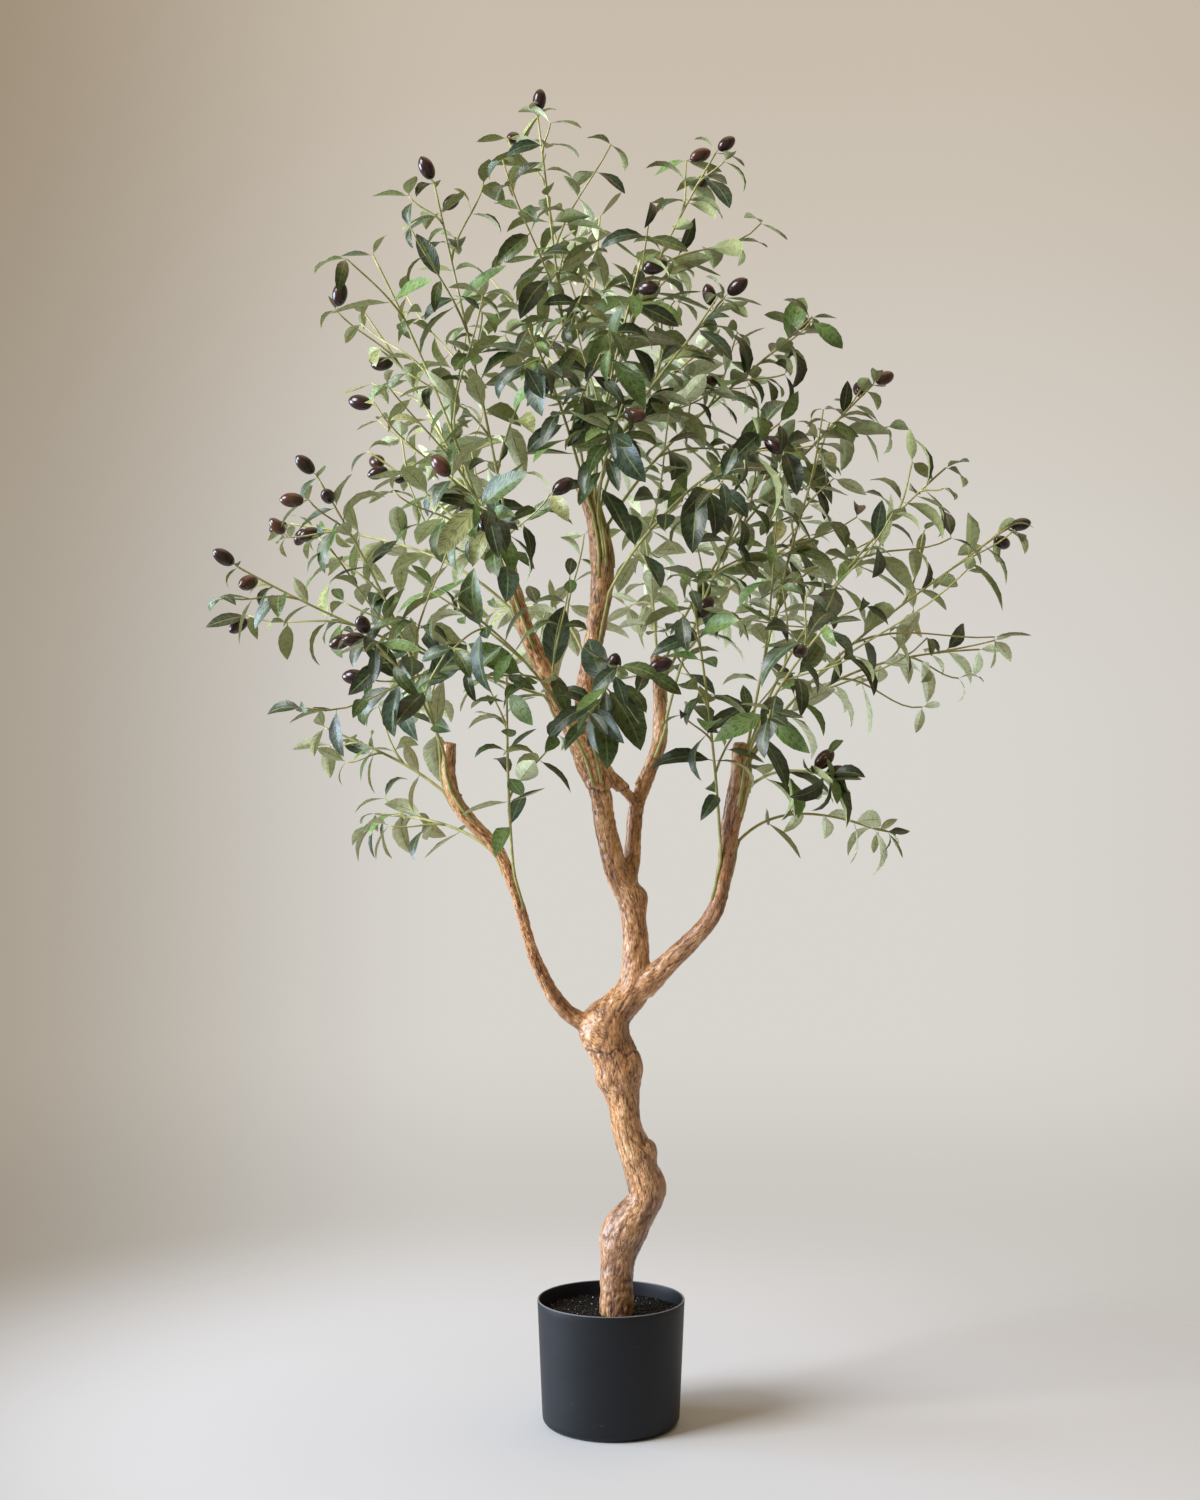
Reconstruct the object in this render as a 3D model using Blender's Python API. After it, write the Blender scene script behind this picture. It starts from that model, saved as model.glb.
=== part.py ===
"""Artificial olive tree in a plain nursery pot, 1.83 m tall, in metres, +Z up.

The origin is the centre of the pot's flat underside, and the front of the tree looks along -Y.
A cement filler in the pot holds a cast, knotty trunk. Six boughs leave it, and each carries leafy
sprays of the kind that a maker wires on: one wiry stem with side twigs, paired leaves and olives.
Every spray is one solid, and it keeps clear of the limbs and of the other sprays.
"""

import math
import random
from collections import namedtuple

import bmesh
import bpy
from mathutils import Matrix, Vector
from mathutils.bvhtree import BVHTree
from mathutils.geometry import interpolate_bezier

# --- driving sizes -------------------------------------------------------------------------------
GAP = 0.0003  # between pieces that touch
CLEARANCE = 0.0006  # between sprays, and between the leaves of one spray

POT_HEIGHT = 0.170
POT_RIM_RADIUS = 0.1004
POT_BASE_RADIUS = 0.0930
POT_CORNER = 0.012
POT_WALL = 0.0026
POT_FLOOR = 0.004
POT_SIDES = 30
FILLER_TOP = 0.150

TRUNK_FOOT_RADIUS = 0.0238
TRUNK_FORK_RADIUS = 0.0130
TRUNK_RINGS = 36
TRUNK_SIDES = 10
BOUGH_SIDES = 8
BOUGH_TIP_LENGTH = 0.5  # of a bough's last radius, for the ring that rounds it off
BOUGH_TIP_RADIUS = 0.62  # of that ring, as a share of the last radius

STEM_RADIUS = 0.0026
TWIG_RADIUS = 0.0019
TIP_SHARE = 0.6  # a stem's tip radius as a share of its foot's
STEM_RINGS = 6
BARE_SHARE = 0.16  # of a stem, from its foot, with no twigs
BARE_OF_LEAVES = {"stem": 0.22, "twig": 0.32}
TWIG_SPACING = 0.12  # along a stem
TWIG_LEANS = (38, 48)  # degrees between a twig and its stem, at least and at most
TWIG_LENGTH = (0.64, 0.12)  # as a share of the stem's reach, for a twig at its foot and at its tip

LEAF_LENGTH = 0.094
LEAF_WIDTH = 0.040
LEAF_THICKNESS = 0.0016
LEAF_SPACING = 0.057
LEAF_LEAN = 56  # degrees between a leaf and its twig
LEAF_LEAN_SPREAD = 8
TIP_LEAF_LEAN = 22
TIP_LEAF_SCALE = 0.8
ROOT_SINK = 0.0005  # how far a root passes its twig's axis

OLIVE_LENGTH = 0.035
OLIVE_WIDTH = 0.021
OLIVE_GIRTH = ((0.0, 0.2), (0.33, 1.0), (0.67, 0.95), (1.0, 0.2))  # (share of length, of half width)
OLIVE_CHANCE = {"stem": 0.45, "twig": 0.07}  # that an olive ends it

POT_COLOUR = (0.020, 0.022, 0.026)
FILLER_COLOUR = (0.012, 0.012, 0.012)
BARK_COLOUR = (0.50, 0.29, 0.15)
LEAF_COLOUR = (0.10, 0.19, 0.10)

FIRST_SEED = 4100
CURVE_STEPS = 12  # samples of each stretch of a curve, before they are spaced evenly

UP = Vector((0, 0, 1))

# --- limbs: bends are (x, y, z), girth is (share of the length, radius) ---------------------------
TRUNK_BENDS = (
    (0.007, 0.000, FILLER_TOP + GAP), (0.011, 0.004, 0.220), (0.026, 0.010, 0.268),
    (0.044, 0.012, 0.305), (0.036, 0.008, 0.350), (0.023, 0.000, 0.395), (0.014, -0.006, 0.450),
    (0.006, -0.006, 0.505), (0.006, -0.002, 0.550), (0.030, 0.002, 0.600), (0.033, 0.004, 0.670),
    (0.024, 0.006, 0.715), (0.006, 0.006, 0.755), (-0.008, 0.004, 0.812), (-0.016, 0.002, 0.866),
    (-0.034, 0.000, 0.940),
)
# A knot is (height, half its height, how far it swells, the side it swells to in degrees)
TRUNK_KNOTS = (
    (0.272, 0.024, 0.017, 190), (0.262, 0.026, 0.014, 0), (0.322, 0.026, 0.010, 0), (0.366, 0.015, 0.012, 20),
    (0.470, 0.012, 0.009, 180), (0.492, 0.040, 0.012, 10), (0.505, 0.045, 0.010, 190),
    (0.545, 0.026, 0.018, 180), (0.592, 0.030, 0.010, 20), (0.712, 0.015, 0.011, 10),
    (0.925, 0.040, 0.012, 0), (0.925, 0.045, 0.014, 180),
)
BOUGHS = {
    "bough_left": dict(
        bends=(
            (-0.006, -0.002, 0.530), (-0.060, -0.010, 0.561), (-0.100, -0.028, 0.628),
            (-0.126, -0.040, 0.715), (-0.150, -0.048, 0.778), (-0.200, -0.060, 0.838),
            (-0.216, -0.066, 0.880), (-0.215, -0.070, 0.924),
        ),
        girth=((0.0, 0.0110), (0.5, 0.0072), (0.75, 0.0095), (1.0, 0.0085)),
        rings=20,
    ),
    "bough_right": dict(
        bends=(
            (0.036, 0.000, 0.588), (0.085, -0.014, 0.634), (0.137, -0.030, 0.693),
            (0.153, -0.040, 0.755), (0.160, -0.046, 0.815), (0.171, -0.055, 0.872),
            (0.173, -0.060, 0.924),
        ),
        girth=((0.0, 0.0150), (0.45, 0.0110), (0.8, 0.0140), (1.0, 0.0095)),
        rings=18,
    ),
    "bough_centre": dict(
        bends=(
            (0.020, 0.008, 0.718), (0.030, 0.024, 0.768), (0.036, 0.036, 0.838),
            (0.056, 0.050, 0.893), (0.069, 0.060, 0.936), (0.068, 0.074, 1.000),
            (0.064, 0.084, 1.046),
        ),
        girth=((0.0, 0.0115), (0.5, 0.0102), (1.0, 0.0080)),
        rings=16,
    ),
    "bough_upper_right": dict(
        bends=(
            (-0.028, 0.004, 0.925), (-0.034, 0.010, 0.985), (-0.026, 0.016, 1.050),
            (-0.013, 0.020, 1.130), (-0.012, 0.020, 1.175), (-0.022, 0.025, 1.235),
            (-0.042, 0.030, 1.287),
        ),
        girth=((0.0, 0.0165), (0.3, 0.0130), (0.65, 0.0160), (0.8, 0.0125), (1.0, 0.0095)),
        rings=18,
    ),
    "bough_upper_left": dict(
        bends=(
            (-0.036, -0.002, 0.925), (-0.061, -0.004, 0.962), (-0.081, -0.008, 1.005),
            (-0.107, -0.012, 1.060), (-0.125, -0.016, 1.108), (-0.138, -0.020, 1.155),
        ),
        girth=((0.0, 0.0155), (0.5, 0.0120), (1.0, 0.0085)),
        rings=14,
    ),
    "bough_bridge": dict(
        bends=((-0.012, 0.004, 0.893), (0.012, 0.018, 0.868), (0.036, 0.036, 0.842)),
        girth=((0.0, 0.0085), (1.0, 0.0070)),
        rings=6,
    ),
}
# What each bough is cut clear of, where it starts inside it
BOUGH_MEETS = {
    "bough_left": ("trunk",),
    "bough_right": ("trunk",),
    "bough_centre": ("trunk",),
    "bough_upper_right": ("trunk",),
    "bough_upper_left": ("trunk", "bough_upper_right"),
    "bough_bridge": ("trunk", "bough_centre"),
}

# --- sprays --------------------------------------------------------------------------------------
# The limb that carries it, the share along that limb, the heading and rise of its tip in degrees
# (heading 0 is +X and 90 is +Y), its reach from limb to tip, and its bow: how far the stem rises
# first and then leans out
Spray = namedtuple("Spray", "limb along heading rise reach bow")
SPRAYS = {
    "left_climber": Spray("bough_left", 0.98, -165, 64, 0.40, 0.35),
    "left_front": Spray("bough_left", 0.96, -111, 33, 0.28, 0.35),
    "left_out": Spray("bough_left", 0.86, 169, 26, 0.20, 0.10),
    "left_low": Spray("bough_left", 0.68, 152, 11, 0.19, 0.25),
    "left_inner": Spray("bough_left", 0.58, -89, 69, 0.28, 0.35),
    "left_back": Spray("bough_left", 0.93, 112, 31, 0.31, 0.35),
    "arm_left": Spray("bough_upper_left", 0.30, -164, 21, 0.46, -0.30),
    "shoulder_left": Spray("bough_upper_left", 0.96, 170, 42, 0.27, 0.35),
    "upper_left_low": Spray("bough_upper_left", 0.80, 155, 20, 0.39, 0.35),
    "upper_left_out": Spray("bough_upper_left", 0.99, 159, 60, 0.45, 0.40),
    "upper_left_high": Spray("bough_upper_left", 0.93, -160, 66, 0.48, 0.35),
    "upper_left_crown": Spray("bough_upper_left", 0.97, -175, 79, 0.55, 0.25),
    "upper_left_front": Spray("bough_upper_left", 0.88, -97, 18, 0.31, 0.35),
    "upper_left_back": Spray("bough_upper_left", 0.84, 113, 39, 0.48, 0.35),
    "crown_top": Spray("bough_upper_right", 0.98, -172, 83, 0.51, 0.15),
    "crown_right": Spray("bough_upper_right", 0.95, 9, 69, 0.51, 0.65),
    "crown_front": Spray("bough_upper_right", 0.90, -72, 54, 0.36, 0.35),
    "crown_inner": Spray("bough_upper_right", 0.92, -13, 55, 0.33, 0.35),
    "crown_out": Spray("bough_upper_right", 0.80, 10, 45, 0.43, 0.10),
    "crown_back": Spray("bough_upper_right", 0.97, 85, 61, 0.50, 0.35),
    "crown_back_right": Spray("bough_upper_right", 0.86, 61, 39, 0.47, 0.50),
    "crown_left_front": Spray("bough_upper_right", 0.93, -106, 35, 0.32, 0.35),
    "crown_middle": Spray("bough_upper_right", 0.84, -80, 32, 0.24, 0.35),
    "middle_right_front": Spray("bough_upper_right", 0.55, -48, 31, 0.39, 0.35),
    "centre_out": Spray("bough_centre", 0.97, 10, 52, 0.51, 0.35),
    "centre_back": Spray("bough_centre", 0.94, 93, 38, 0.41, 0.50),
    "centre_back_right": Spray("bough_centre", 0.90, 51, 32, 0.44, 0.35),
    "centre_inner": Spray("bough_centre", 0.72, -38, 64, 0.33, 0.35),
    "back_left": Spray("bough_upper_right", 0.30, 111, 16, 0.36, 0.50),
    "fork_front": Spray("trunk", 0.97, -82, 22, 0.28, 0.30),
    "fork_left_front": Spray("trunk", 0.95, -119, 30, 0.40, 0.35),
    "right_climber": Spray("bough_right", 0.98, -8, 54, 0.46, 0.60),
    "right_out": Spray("bough_right", 0.95, 11, 40, 0.49, 0.15),
    "right_back": Spray("bough_right", 0.93, 33, 21, 0.46, 0.60),
    "right_high": Spray("bough_right", 0.97, 40, 70, 0.50, 0.35),
    "right_front": Spray("bough_right", 0.90, -70, 35, 0.32, 0.35),
    "right_inner": Spray("bough_right", 0.60, -111, 67, 0.38, 0.35),
    "right_low": Spray("bough_right", 0.66, 25, 2, 0.25, 0.60),
    "right_droop": Spray("bough_right", 0.85, -45, 7, 0.16, 0.35),
}


# --- curves and frames ---------------------------------------------------------------------------
def evenly(points, count):
    """count points at equal distances along the polyline."""
    reached = [0.0]
    for a, b in zip(points, points[1:]):
        reached.append(reached[-1] + (b - a).length)
    spaced, k = [], 0
    for i in range(count):
        target = reached[-1] * i / (count - 1)
        while k < len(points) - 2 and reached[k + 1] < target:
            k += 1
        share = (target - reached[k]) / (reached[k + 1] - reached[k])
        spaced.append(points[k].lerp(points[k + 1], share))
    return spaced


def smooth_path(bends, count):
    """A smooth curve through the bends, as evenly spaced points."""
    points = [Vector(p) for p in bends]
    padded = [2 * points[0] - points[1], *points, 2 * points[-1] - points[-2]]
    dense = []
    for a, b, c, d in zip(padded, padded[1:], padded[2:], padded[3:]):
        for step in range(CURVE_STEPS):
            t = step / CURVE_STEPS
            bend = (2 * a - 5 * b + 4 * c - d) * t + (3 * b - a - 3 * c + d) * t * t
            dense.append(b + 0.5 * t * ((c - a) + bend))
    return evenly([*dense, points[-1]], count)


def directions(path):
    """The direction of the path at each of its points."""
    ahead = [b - a for a, b in zip(path, path[1:])]
    middle = [(a + b).normalized() for a, b in zip(ahead, ahead[1:])]
    return [ahead[0].normalized(), *middle, ahead[-1].normalized()]


def across(direction, hint=Vector((0.31, 0.82, 0.48))):
    """A unit vector at right angles to the direction, as near to the hint as it can be."""
    side = hint - direction * hint.dot(direction)
    return side.normalized() if side.length > 1e-4 else direction.orthogonal().normalized()


def turned(vector, axis, angle):
    return Matrix.Rotation(angle, 3, axis) @ vector


def frames(path, first_way=None):
    """(way, side) at each point of the path: the side turns as little as it can along the path."""
    ways = directions(path)
    ways[0] = first_way or ways[0]
    sides = [across(ways[0])]
    for way in ways[1:]:
        sides.append(across(way, sides[-1]))
    return list(zip(ways, sides))


def through_face(path, share, number):
    """The root, way and outward way of what grows through this face of a three-sided twig."""
    ways = frames(path)
    k = min(int(share * (len(path) - 1)), len(path) - 2)
    root, way = along_path(path, share)
    side = across(way, ways[k][1])
    return root, way, turned(side, way, math.radians(60 + 120 * number))


def along_path(path, share):
    """The point and the direction at this share of an evenly spaced path."""
    place = min(max(share, 0.0), 1.0) * (len(path) - 1)
    k = min(int(place), len(path) - 2)
    return path[k].lerp(path[k + 1], place - k), (path[k + 1] - path[k]).normalized()


def stepped(pairs, share):
    """The value at this share of a short table of (share, value), with straight lines between."""
    for (s0, v0), (s1, v1) in zip(pairs, pairs[1:]):
        if share <= s1:
            return v0 + (v1 - v0) * (share - s0) / (s1 - s0)
    return pairs[-1][1]


# --- shapes: each is (corners, faces) ------------------------------------------------------------
def tube_shape(path, radius_at, sides, first_normal=None):
    """A tube along the path, closed at both ends. radius_at takes the share, centre and outward way."""
    corners = []
    for i, (centre, (way, side)) in enumerate(zip(path, frames(path, first_normal))):
        for k in range(sides):
            outward = turned(side, way, 2 * math.pi * k / sides)
            corners.append(centre + outward * radius_at(i / (len(path) - 1), centre, outward))
    faces = [tuple(reversed(range(sides)))]
    for ring in range(len(path) - 1):
        low = ring * sides
        for k in range(sides):
            nxt = (k + 1) % sides
            faces.append((low + k, low + nxt, low + sides + nxt, low + sides + k))
    last = (len(path) - 1) * sides
    faces.append(tuple(range(last, last + sides)))
    return corners, faces


def twig_shape(path, radius, extra=0.0, first_normal=None):
    """A three-sided twig that tapers to its tip."""

    def radius_at(share, _centre, _outward):
        return radius * (1 - (1 - TIP_SHARE) * share) + extra

    return tube_shape(path, radius_at, 3, first_normal)


def leaf_shape(root, out, up, length, width, extra=0.0):
    """An arched, pointed leaf of six faces. out is the way it points and up its upper side."""
    side = out.cross(up).normalized()
    crest = root + out * (0.45 * length) + up * (0.10 * length)
    half = width / 2 + extra
    corners = [
        root - out * (ROOT_SINK + extra), root + out * (length + extra),
        crest + side * half - up * extra, crest - side * half - up * extra,
        crest + up * (LEAF_THICKNESS + extra),
    ]
    faces = [(0, 2, 4), (2, 1, 4), (1, 3, 4), (3, 0, 4), (0, 3, 2), (1, 2, 3)]
    return corners, faces


def olive_shape(root, out, extra=0.0):
    """An olive of five sides, its end sunk over the twig's tip at root."""
    path = [root + out * (OLIVE_LENGTH * share - 2 * ROOT_SINK) for share, _girth in OLIVE_GIRTH]

    def radius_at(share, _centre, _outward):
        return OLIVE_WIDTH / 2 * stepped(OLIVE_GIRTH, share) + extra

    return tube_shape(path, radius_at, 5)


def make_object(name, shape, finish):
    """A mesh object from a shape's corners and faces."""
    mesh = bpy.data.meshes.new(name)
    corners, faces = shape
    mesh.from_pydata([tuple(c) for c in corners], [], faces)
    mesh.materials.append(finish)
    made = bpy.data.objects.new(name, mesh)
    bpy.context.scene.collection.objects.link(made)
    return made


def make_finish(name, colour, roughness):
    finish = bpy.data.materials.new(name)
    finish.use_nodes = True
    shader = finish.node_tree.nodes["Principled BSDF"]
    shader.inputs["Base Color"].default_value = (*colour, 1)
    shader.inputs["Roughness"].default_value = roughness
    shader.inputs["Metallic"].default_value = 0.0
    finish.diffuse_color = (*colour, 1)
    return finish


def apply_boolean(target, operation, solver, operand):
    """Adds a Boolean with an object or a collection, applies it and removes what it used."""
    modifier = target.modifiers.new(operation.title(), "BOOLEAN")
    modifier.operation = operation
    modifier.solver = solver
    is_group = isinstance(operand, bpy.types.Collection)
    modifier.operand_type = "COLLECTION" if is_group else "OBJECT"
    if is_group:
        modifier.collection = operand
    else:
        modifier.object = operand
    with bpy.context.temp_override(object=target, active_object=target):
        bpy.ops.object.modifier_apply(modifier=modifier.name)
    used = list(operand.objects) if is_group else [operand]
    for helper in used:
        bpy.data.objects.remove(helper)
    if is_group:
        bpy.data.collections.remove(operand)


# --- pot and filler ------------------------------------------------------------------------------
def wall_radius(height):
    """The pot's outer radius at this height."""
    return POT_BASE_RADIUS + (POT_RIM_RADIUS - POT_BASE_RADIUS) * height / POT_HEIGHT


def turn_profile(name, profile, finish):
    """Spins a profile of (radius, height) round Z. Its first and last points are on the axis."""
    work = bmesh.new()
    verts = [work.verts.new((radius, 0, height)) for radius, height in profile]
    edges = [work.edges.new(pair) for pair in zip(verts, verts[1:])]
    bmesh.ops.spin(
        work, geom=verts + edges, cent=(0, 0, 0), axis=(0, 0, 1),
        angle=2 * math.pi, steps=POT_SIDES, use_merge=True,
    )
    bmesh.ops.remove_doubles(work, verts=work.verts, dist=1e-6)
    bmesh.ops.recalc_face_normals(work, faces=work.faces)
    mesh = bpy.data.meshes.new(name)
    work.to_mesh(mesh)
    work.free()
    mesh.materials.append(finish)
    mesh.shade_smooth()
    mesh.set_sharp_from_angle(angle=math.radians(35))
    made = bpy.data.objects.new(name, mesh)
    bpy.context.scene.collection.objects.link(made)
    return made


def make_pot(finish):
    """A thin, slightly tapering cup with a rounded lower corner and a soft rim."""
    corner = []
    for angle in [math.radians(degrees) for degrees in (0, 30, 60, 90)]:
        radius = wall_radius(POT_CORNER) - POT_CORNER * (1 - math.sin(angle))
        corner.append((radius, POT_CORNER * (1 - math.cos(angle))))
    lip = POT_WALL / 4
    rim = [
        (POT_RIM_RADIUS, POT_HEIGHT - lip), (POT_RIM_RADIUS - lip, POT_HEIGHT),
        (POT_RIM_RADIUS - POT_WALL + lip, POT_HEIGHT), (POT_RIM_RADIUS - POT_WALL, POT_HEIGHT - lip),
    ]
    inside = [(wall_radius(POT_CORNER) - POT_WALL, POT_CORNER), (wall_radius(0) - POT_CORNER, POT_FLOOR)]
    return turn_profile("pot", [(0, 0), *corner, *rim, *inside, (0, POT_FLOOR)], finish)


def make_filler(finish):
    """The cement filler, a plain block just inside the pot."""
    low, inset = POT_FLOOR + GAP, POT_WALL + GAP * 1.5
    profile = [
        (0, low), (wall_radius(0) - POT_CORNER - GAP, low),
        (wall_radius(POT_CORNER) - inset, POT_CORNER),
        (wall_radius(FILLER_TOP) - inset, FILLER_TOP), (0, FILLER_TOP),
    ]
    return turn_profile("filler", profile, finish)


# --- limbs ---------------------------------------------------------------------------------------
def trunk_radius(share, centre, outward):
    """The trunk's taper, with each knot swelling on its own side."""
    radius = TRUNK_FOOT_RADIUS + (TRUNK_FORK_RADIUS - TRUNK_FOOT_RADIUS) * share
    for height, half_height, swell, side in TRUNK_KNOTS:
        near = math.exp(-(((centre.z - height) / half_height) ** 2))
        way = Vector((math.cos(math.radians(side)), math.sin(math.radians(side)), 0))
        radius += swell * near * (0.5 + 0.5 * outward.dot(way)) ** 1.5
    return radius


def limb_plan(name):
    """(path, radius_at, sides) of a limb. A bough's last ring rounds off its tip."""
    if name == "trunk":
        return smooth_path(TRUNK_BENDS, TRUNK_RINGS), trunk_radius, TRUNK_SIDES
    bough = BOUGHS[name]
    path = smooth_path(bough["bends"], bough["rings"])
    tip_radius = bough["girth"][-1][1]
    path.append(path[-1] + directions(path)[-1] * tip_radius * BOUGH_TIP_LENGTH)
    whole = bough["rings"] / (bough["rings"] - 1)

    def radius_at(share, _centre, _outward):
        if share >= 1:
            return tip_radius * BOUGH_TIP_RADIUS
        return stepped(bough["girth"], share * whole)

    return path, radius_at, BOUGH_SIDES


def limb_shape(name, extra=0.0):
    """A limb, or with extra the cutter that keeps another limb that far from it."""
    path, radius_at, sides = limb_plan(name)
    if extra:
        ends = directions(path)
        path = [path[0] - ends[0] * extra, *path[1:-1], path[-1] + ends[-1] * extra]

    def grown(share, centre, outward):
        return radius_at(share, centre, outward) + extra

    return tube_shape(path, grown, sides, UP if name == "trunk" else None)


def make_limbs(finish):
    """The trunk and the boughs, each bough cut 0.3 mm clear of what it leaves."""
    made = {"trunk": make_object("trunk", limb_shape("trunk"), finish)}
    for name, meets in BOUGH_MEETS.items():
        made[name] = make_object(name, limb_shape(name), finish)
        for other in meets:
            cutter = make_object("cutter", limb_shape(other, extra=GAP * 1.3), finish)
            apply_boolean(made[name], "DIFFERENCE", "EXACT", cutter)
    return made


# --- the space that pieces hold ------------------------------------------------------------------
class Space:
    """Every placed shape by its name, so that a new one can be tested against the others."""

    def __init__(self):
        self.held = []

    def tree_of(self, shape):
        corners, faces = shape
        centre = sum(corners, Vector()) / len(corners)
        reach = max((c - centre).length for c in corners)
        return centre, reach, BVHTree.FromPolygons(corners, faces)

    def is_free(self, carrier, shape):
        """Whether the shape is clear of all that is held, but for the one that carries it."""
        centre, reach, tree = self.tree_of(shape)
        for other, other_centre, other_reach, other_tree in self.held:
            if other == carrier or (centre - other_centre).length > reach + other_reach:
                continue
            if tree.overlap(other_tree):
                return False
        return True

    def hold(self, label, shape):
        self.held.append((label, *self.tree_of(shape)))


# --- sprays --------------------------------------------------------------------------------------
def aim_of(spray):
    """The direction from a spray's place on its limb to its tip."""
    heading, rise = math.radians(spray.heading), math.radians(spray.rise)
    flat = Vector((math.cos(heading), math.sin(heading), 0))
    return flat * math.cos(rise) + UP * math.sin(rise)


def stem_path(limb_tree, limb_path, spray, along):
    """A stem's centre line from 0.3 mm off its limb, and the limb's outward way at its foot."""
    start, way = along_path(limb_path, along)
    aim = aim_of(spray)
    outward = (across(way, aim) * 0.5 + aim).normalized()
    outside = start + outward * (3 * TRUNK_FOOT_RADIUS)
    hit, normal, _face, _far = limb_tree.ray_cast(outside, -outward)
    foot = hit + normal * GAP
    knee = foot + normal * (STEM_RADIUS * 1.6)
    tip = start + aim * spray.reach
    early = (aim + UP * spray.bow + way * 0.3).normalized()
    late = (aim - UP * spray.bow * 0.5).normalized()
    pull = spray.reach * 0.34
    curve = interpolate_bezier(knee, knee + early * pull, tip - late * pull, tip, 2 * CURVE_STEPS)
    return [foot, *evenly([Vector(p) for p in curve], STEM_RINGS)], normal


def side_twigs(stem, reach, chance):
    """The straight side twigs of a stem, each turned a third of the way round from the last."""
    count = max(2, round(reach / TWIG_SPACING))
    turn = chance.randrange(3)
    at_foot, at_tip = TWIG_LENGTH
    twigs = []
    for k in range(count):
        share = BARE_SHARE + (0.90 - BARE_SHARE) * (k + 0.5) / count
        origin, way, outward = through_face(stem, share, turn + k)
        lean = math.radians(chance.uniform(*TWIG_LEANS)) * 0.8
        out = way * math.cos(lean) + outward * math.sin(lean)
        length = reach * (at_foot + (at_tip - at_foot) * share) * chance.uniform(0.85, 1.15)
        twigs.append([origin, origin + out * length])
    return twigs


def leaves_along(path, bare, chance):
    """The leaves of a stem or twig past its bare share, as a spiral in three rows."""
    covered = (path[-1] - path[0]).length * (1 - bare)
    turn = chance.randrange(3)
    count = max(2, round(covered / LEAF_SPACING))
    leaves = []
    for k in range(count):
        share = bare + (0.96 - bare) * ((k + 0.3) / count) ** 1.15
        root, way, outward = through_face(path, share, turn + k)
        lean = math.radians(LEAF_LEAN + chance.uniform(-LEAF_LEAN_SPREAD, LEAF_LEAN_SPREAD))
        out = way * math.cos(lean) + outward * math.sin(lean)
        scale = (1.06 - 0.22 * share) * chance.uniform(0.92, 1.08)
        upper_side = across(out, way + UP * 0.7)
        leaves.append(("leaf", (root, out, upper_side, LEAF_LENGTH * scale, LEAF_WIDTH * scale)))
    return leaves


def end_of(path, has_olive):
    """What ends a stem or twig: an olive, or a small leaf that leaves it at a shallow angle."""
    if has_olive:
        root, way = along_path(path, 1.0)
        return "olive", (root, (way + UP * 0.15).normalized())
    root, way, outward = through_face(path, 0.93, 0)
    lean = math.radians(TIP_LEAF_LEAN)
    out = way * math.cos(lean) + outward * math.sin(lean)
    length, width = LEAF_LENGTH * TIP_LEAF_SCALE, LEAF_WIDTH * TIP_LEAF_SCALE
    return "leaf", (root, out, across(out, UP), length, width)


def place_stems(space, limbs):
    """The stem of each spray, slid down its limb to the first place where it is clear."""
    graph = bpy.context.evaluated_depsgraph_get()
    stems = {}
    for name, spray in SPRAYS.items():
        tree = BVHTree.FromObject(limbs[spray.limb], graph)
        limb_path = limb_plan(spray.limb)[0]
        for slide in range(24):
            path, normal = stem_path(tree, limb_path, spray, spray.along - 0.01 * slide)
            if space.is_free(None, twig_shape(path[1:], STEM_RADIUS, CLEARANCE)):
                break
        else:
            raise ValueError("no clear place for the stem of " + name)
        stems[name] = (path, normal)
        space.hold(name, twig_shape(path, STEM_RADIUS))
    return stems


def grow_twigs(space, name, stem, chance):
    """The paths that can carry leaves, by label: a spray's stem and those of its twigs that fit."""
    carriers = {name: stem}
    for number, path in enumerate(side_twigs(stem, SPRAYS[name].reach, chance)):
        if space.is_free(name, twig_shape(path, TWIG_RADIUS, CLEARANCE)):
            carriers[f"{name} twig {number}"] = path
            space.hold(f"{name} twig {number}", twig_shape(path, TWIG_RADIUS))
    return carriers


def plan_growth(name, carriers, chance):
    """Every leaf and olive that a spray would like to have, as (its carrier's label, kind, sizes)."""
    plans = []
    for label, path in carriers.items():
        kind = "stem" if label == name else "twig"
        plans.append((label, *end_of(path, chance.random() < OLIVE_CHANCE[kind])))
        plans += [(label, *leaf) for leaf in leaves_along(path, BARE_OF_LEAVES[kind], chance)]
    return plans


def grow_in_turn(space, plans, shapes):
    """Gives each spray one leaf or olive at a time, and skips each one that would come too near."""
    grow = {"leaf": leaf_shape, "olive": olive_shape}
    while any(plans.values()):
        for name in [name for name in plans if plans[name]]:
            label, kind, sizes = plans[name].pop(0)
            if space.is_free(label, grow[kind](*sizes, extra=CLEARANCE)):
                shapes[name].append(grow[kind](*sizes))
                space.hold(name + " growth", shapes[name][-1])


def fuse(name, shapes, finish):
    """Joins a spray's stem, twigs, leaves and olives into one solid with one Boolean union."""
    spray = make_object(name, shapes[0], finish)
    group = bpy.data.collections.new(name + "_parts")
    for number, shape in enumerate(shapes[1:]):
        part = make_object(f"{name}_{number}", shape, finish)
        bpy.context.scene.collection.objects.unlink(part)
        group.objects.link(part)
    apply_boolean(spray, "UNION", "MANIFOLD", group)


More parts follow.
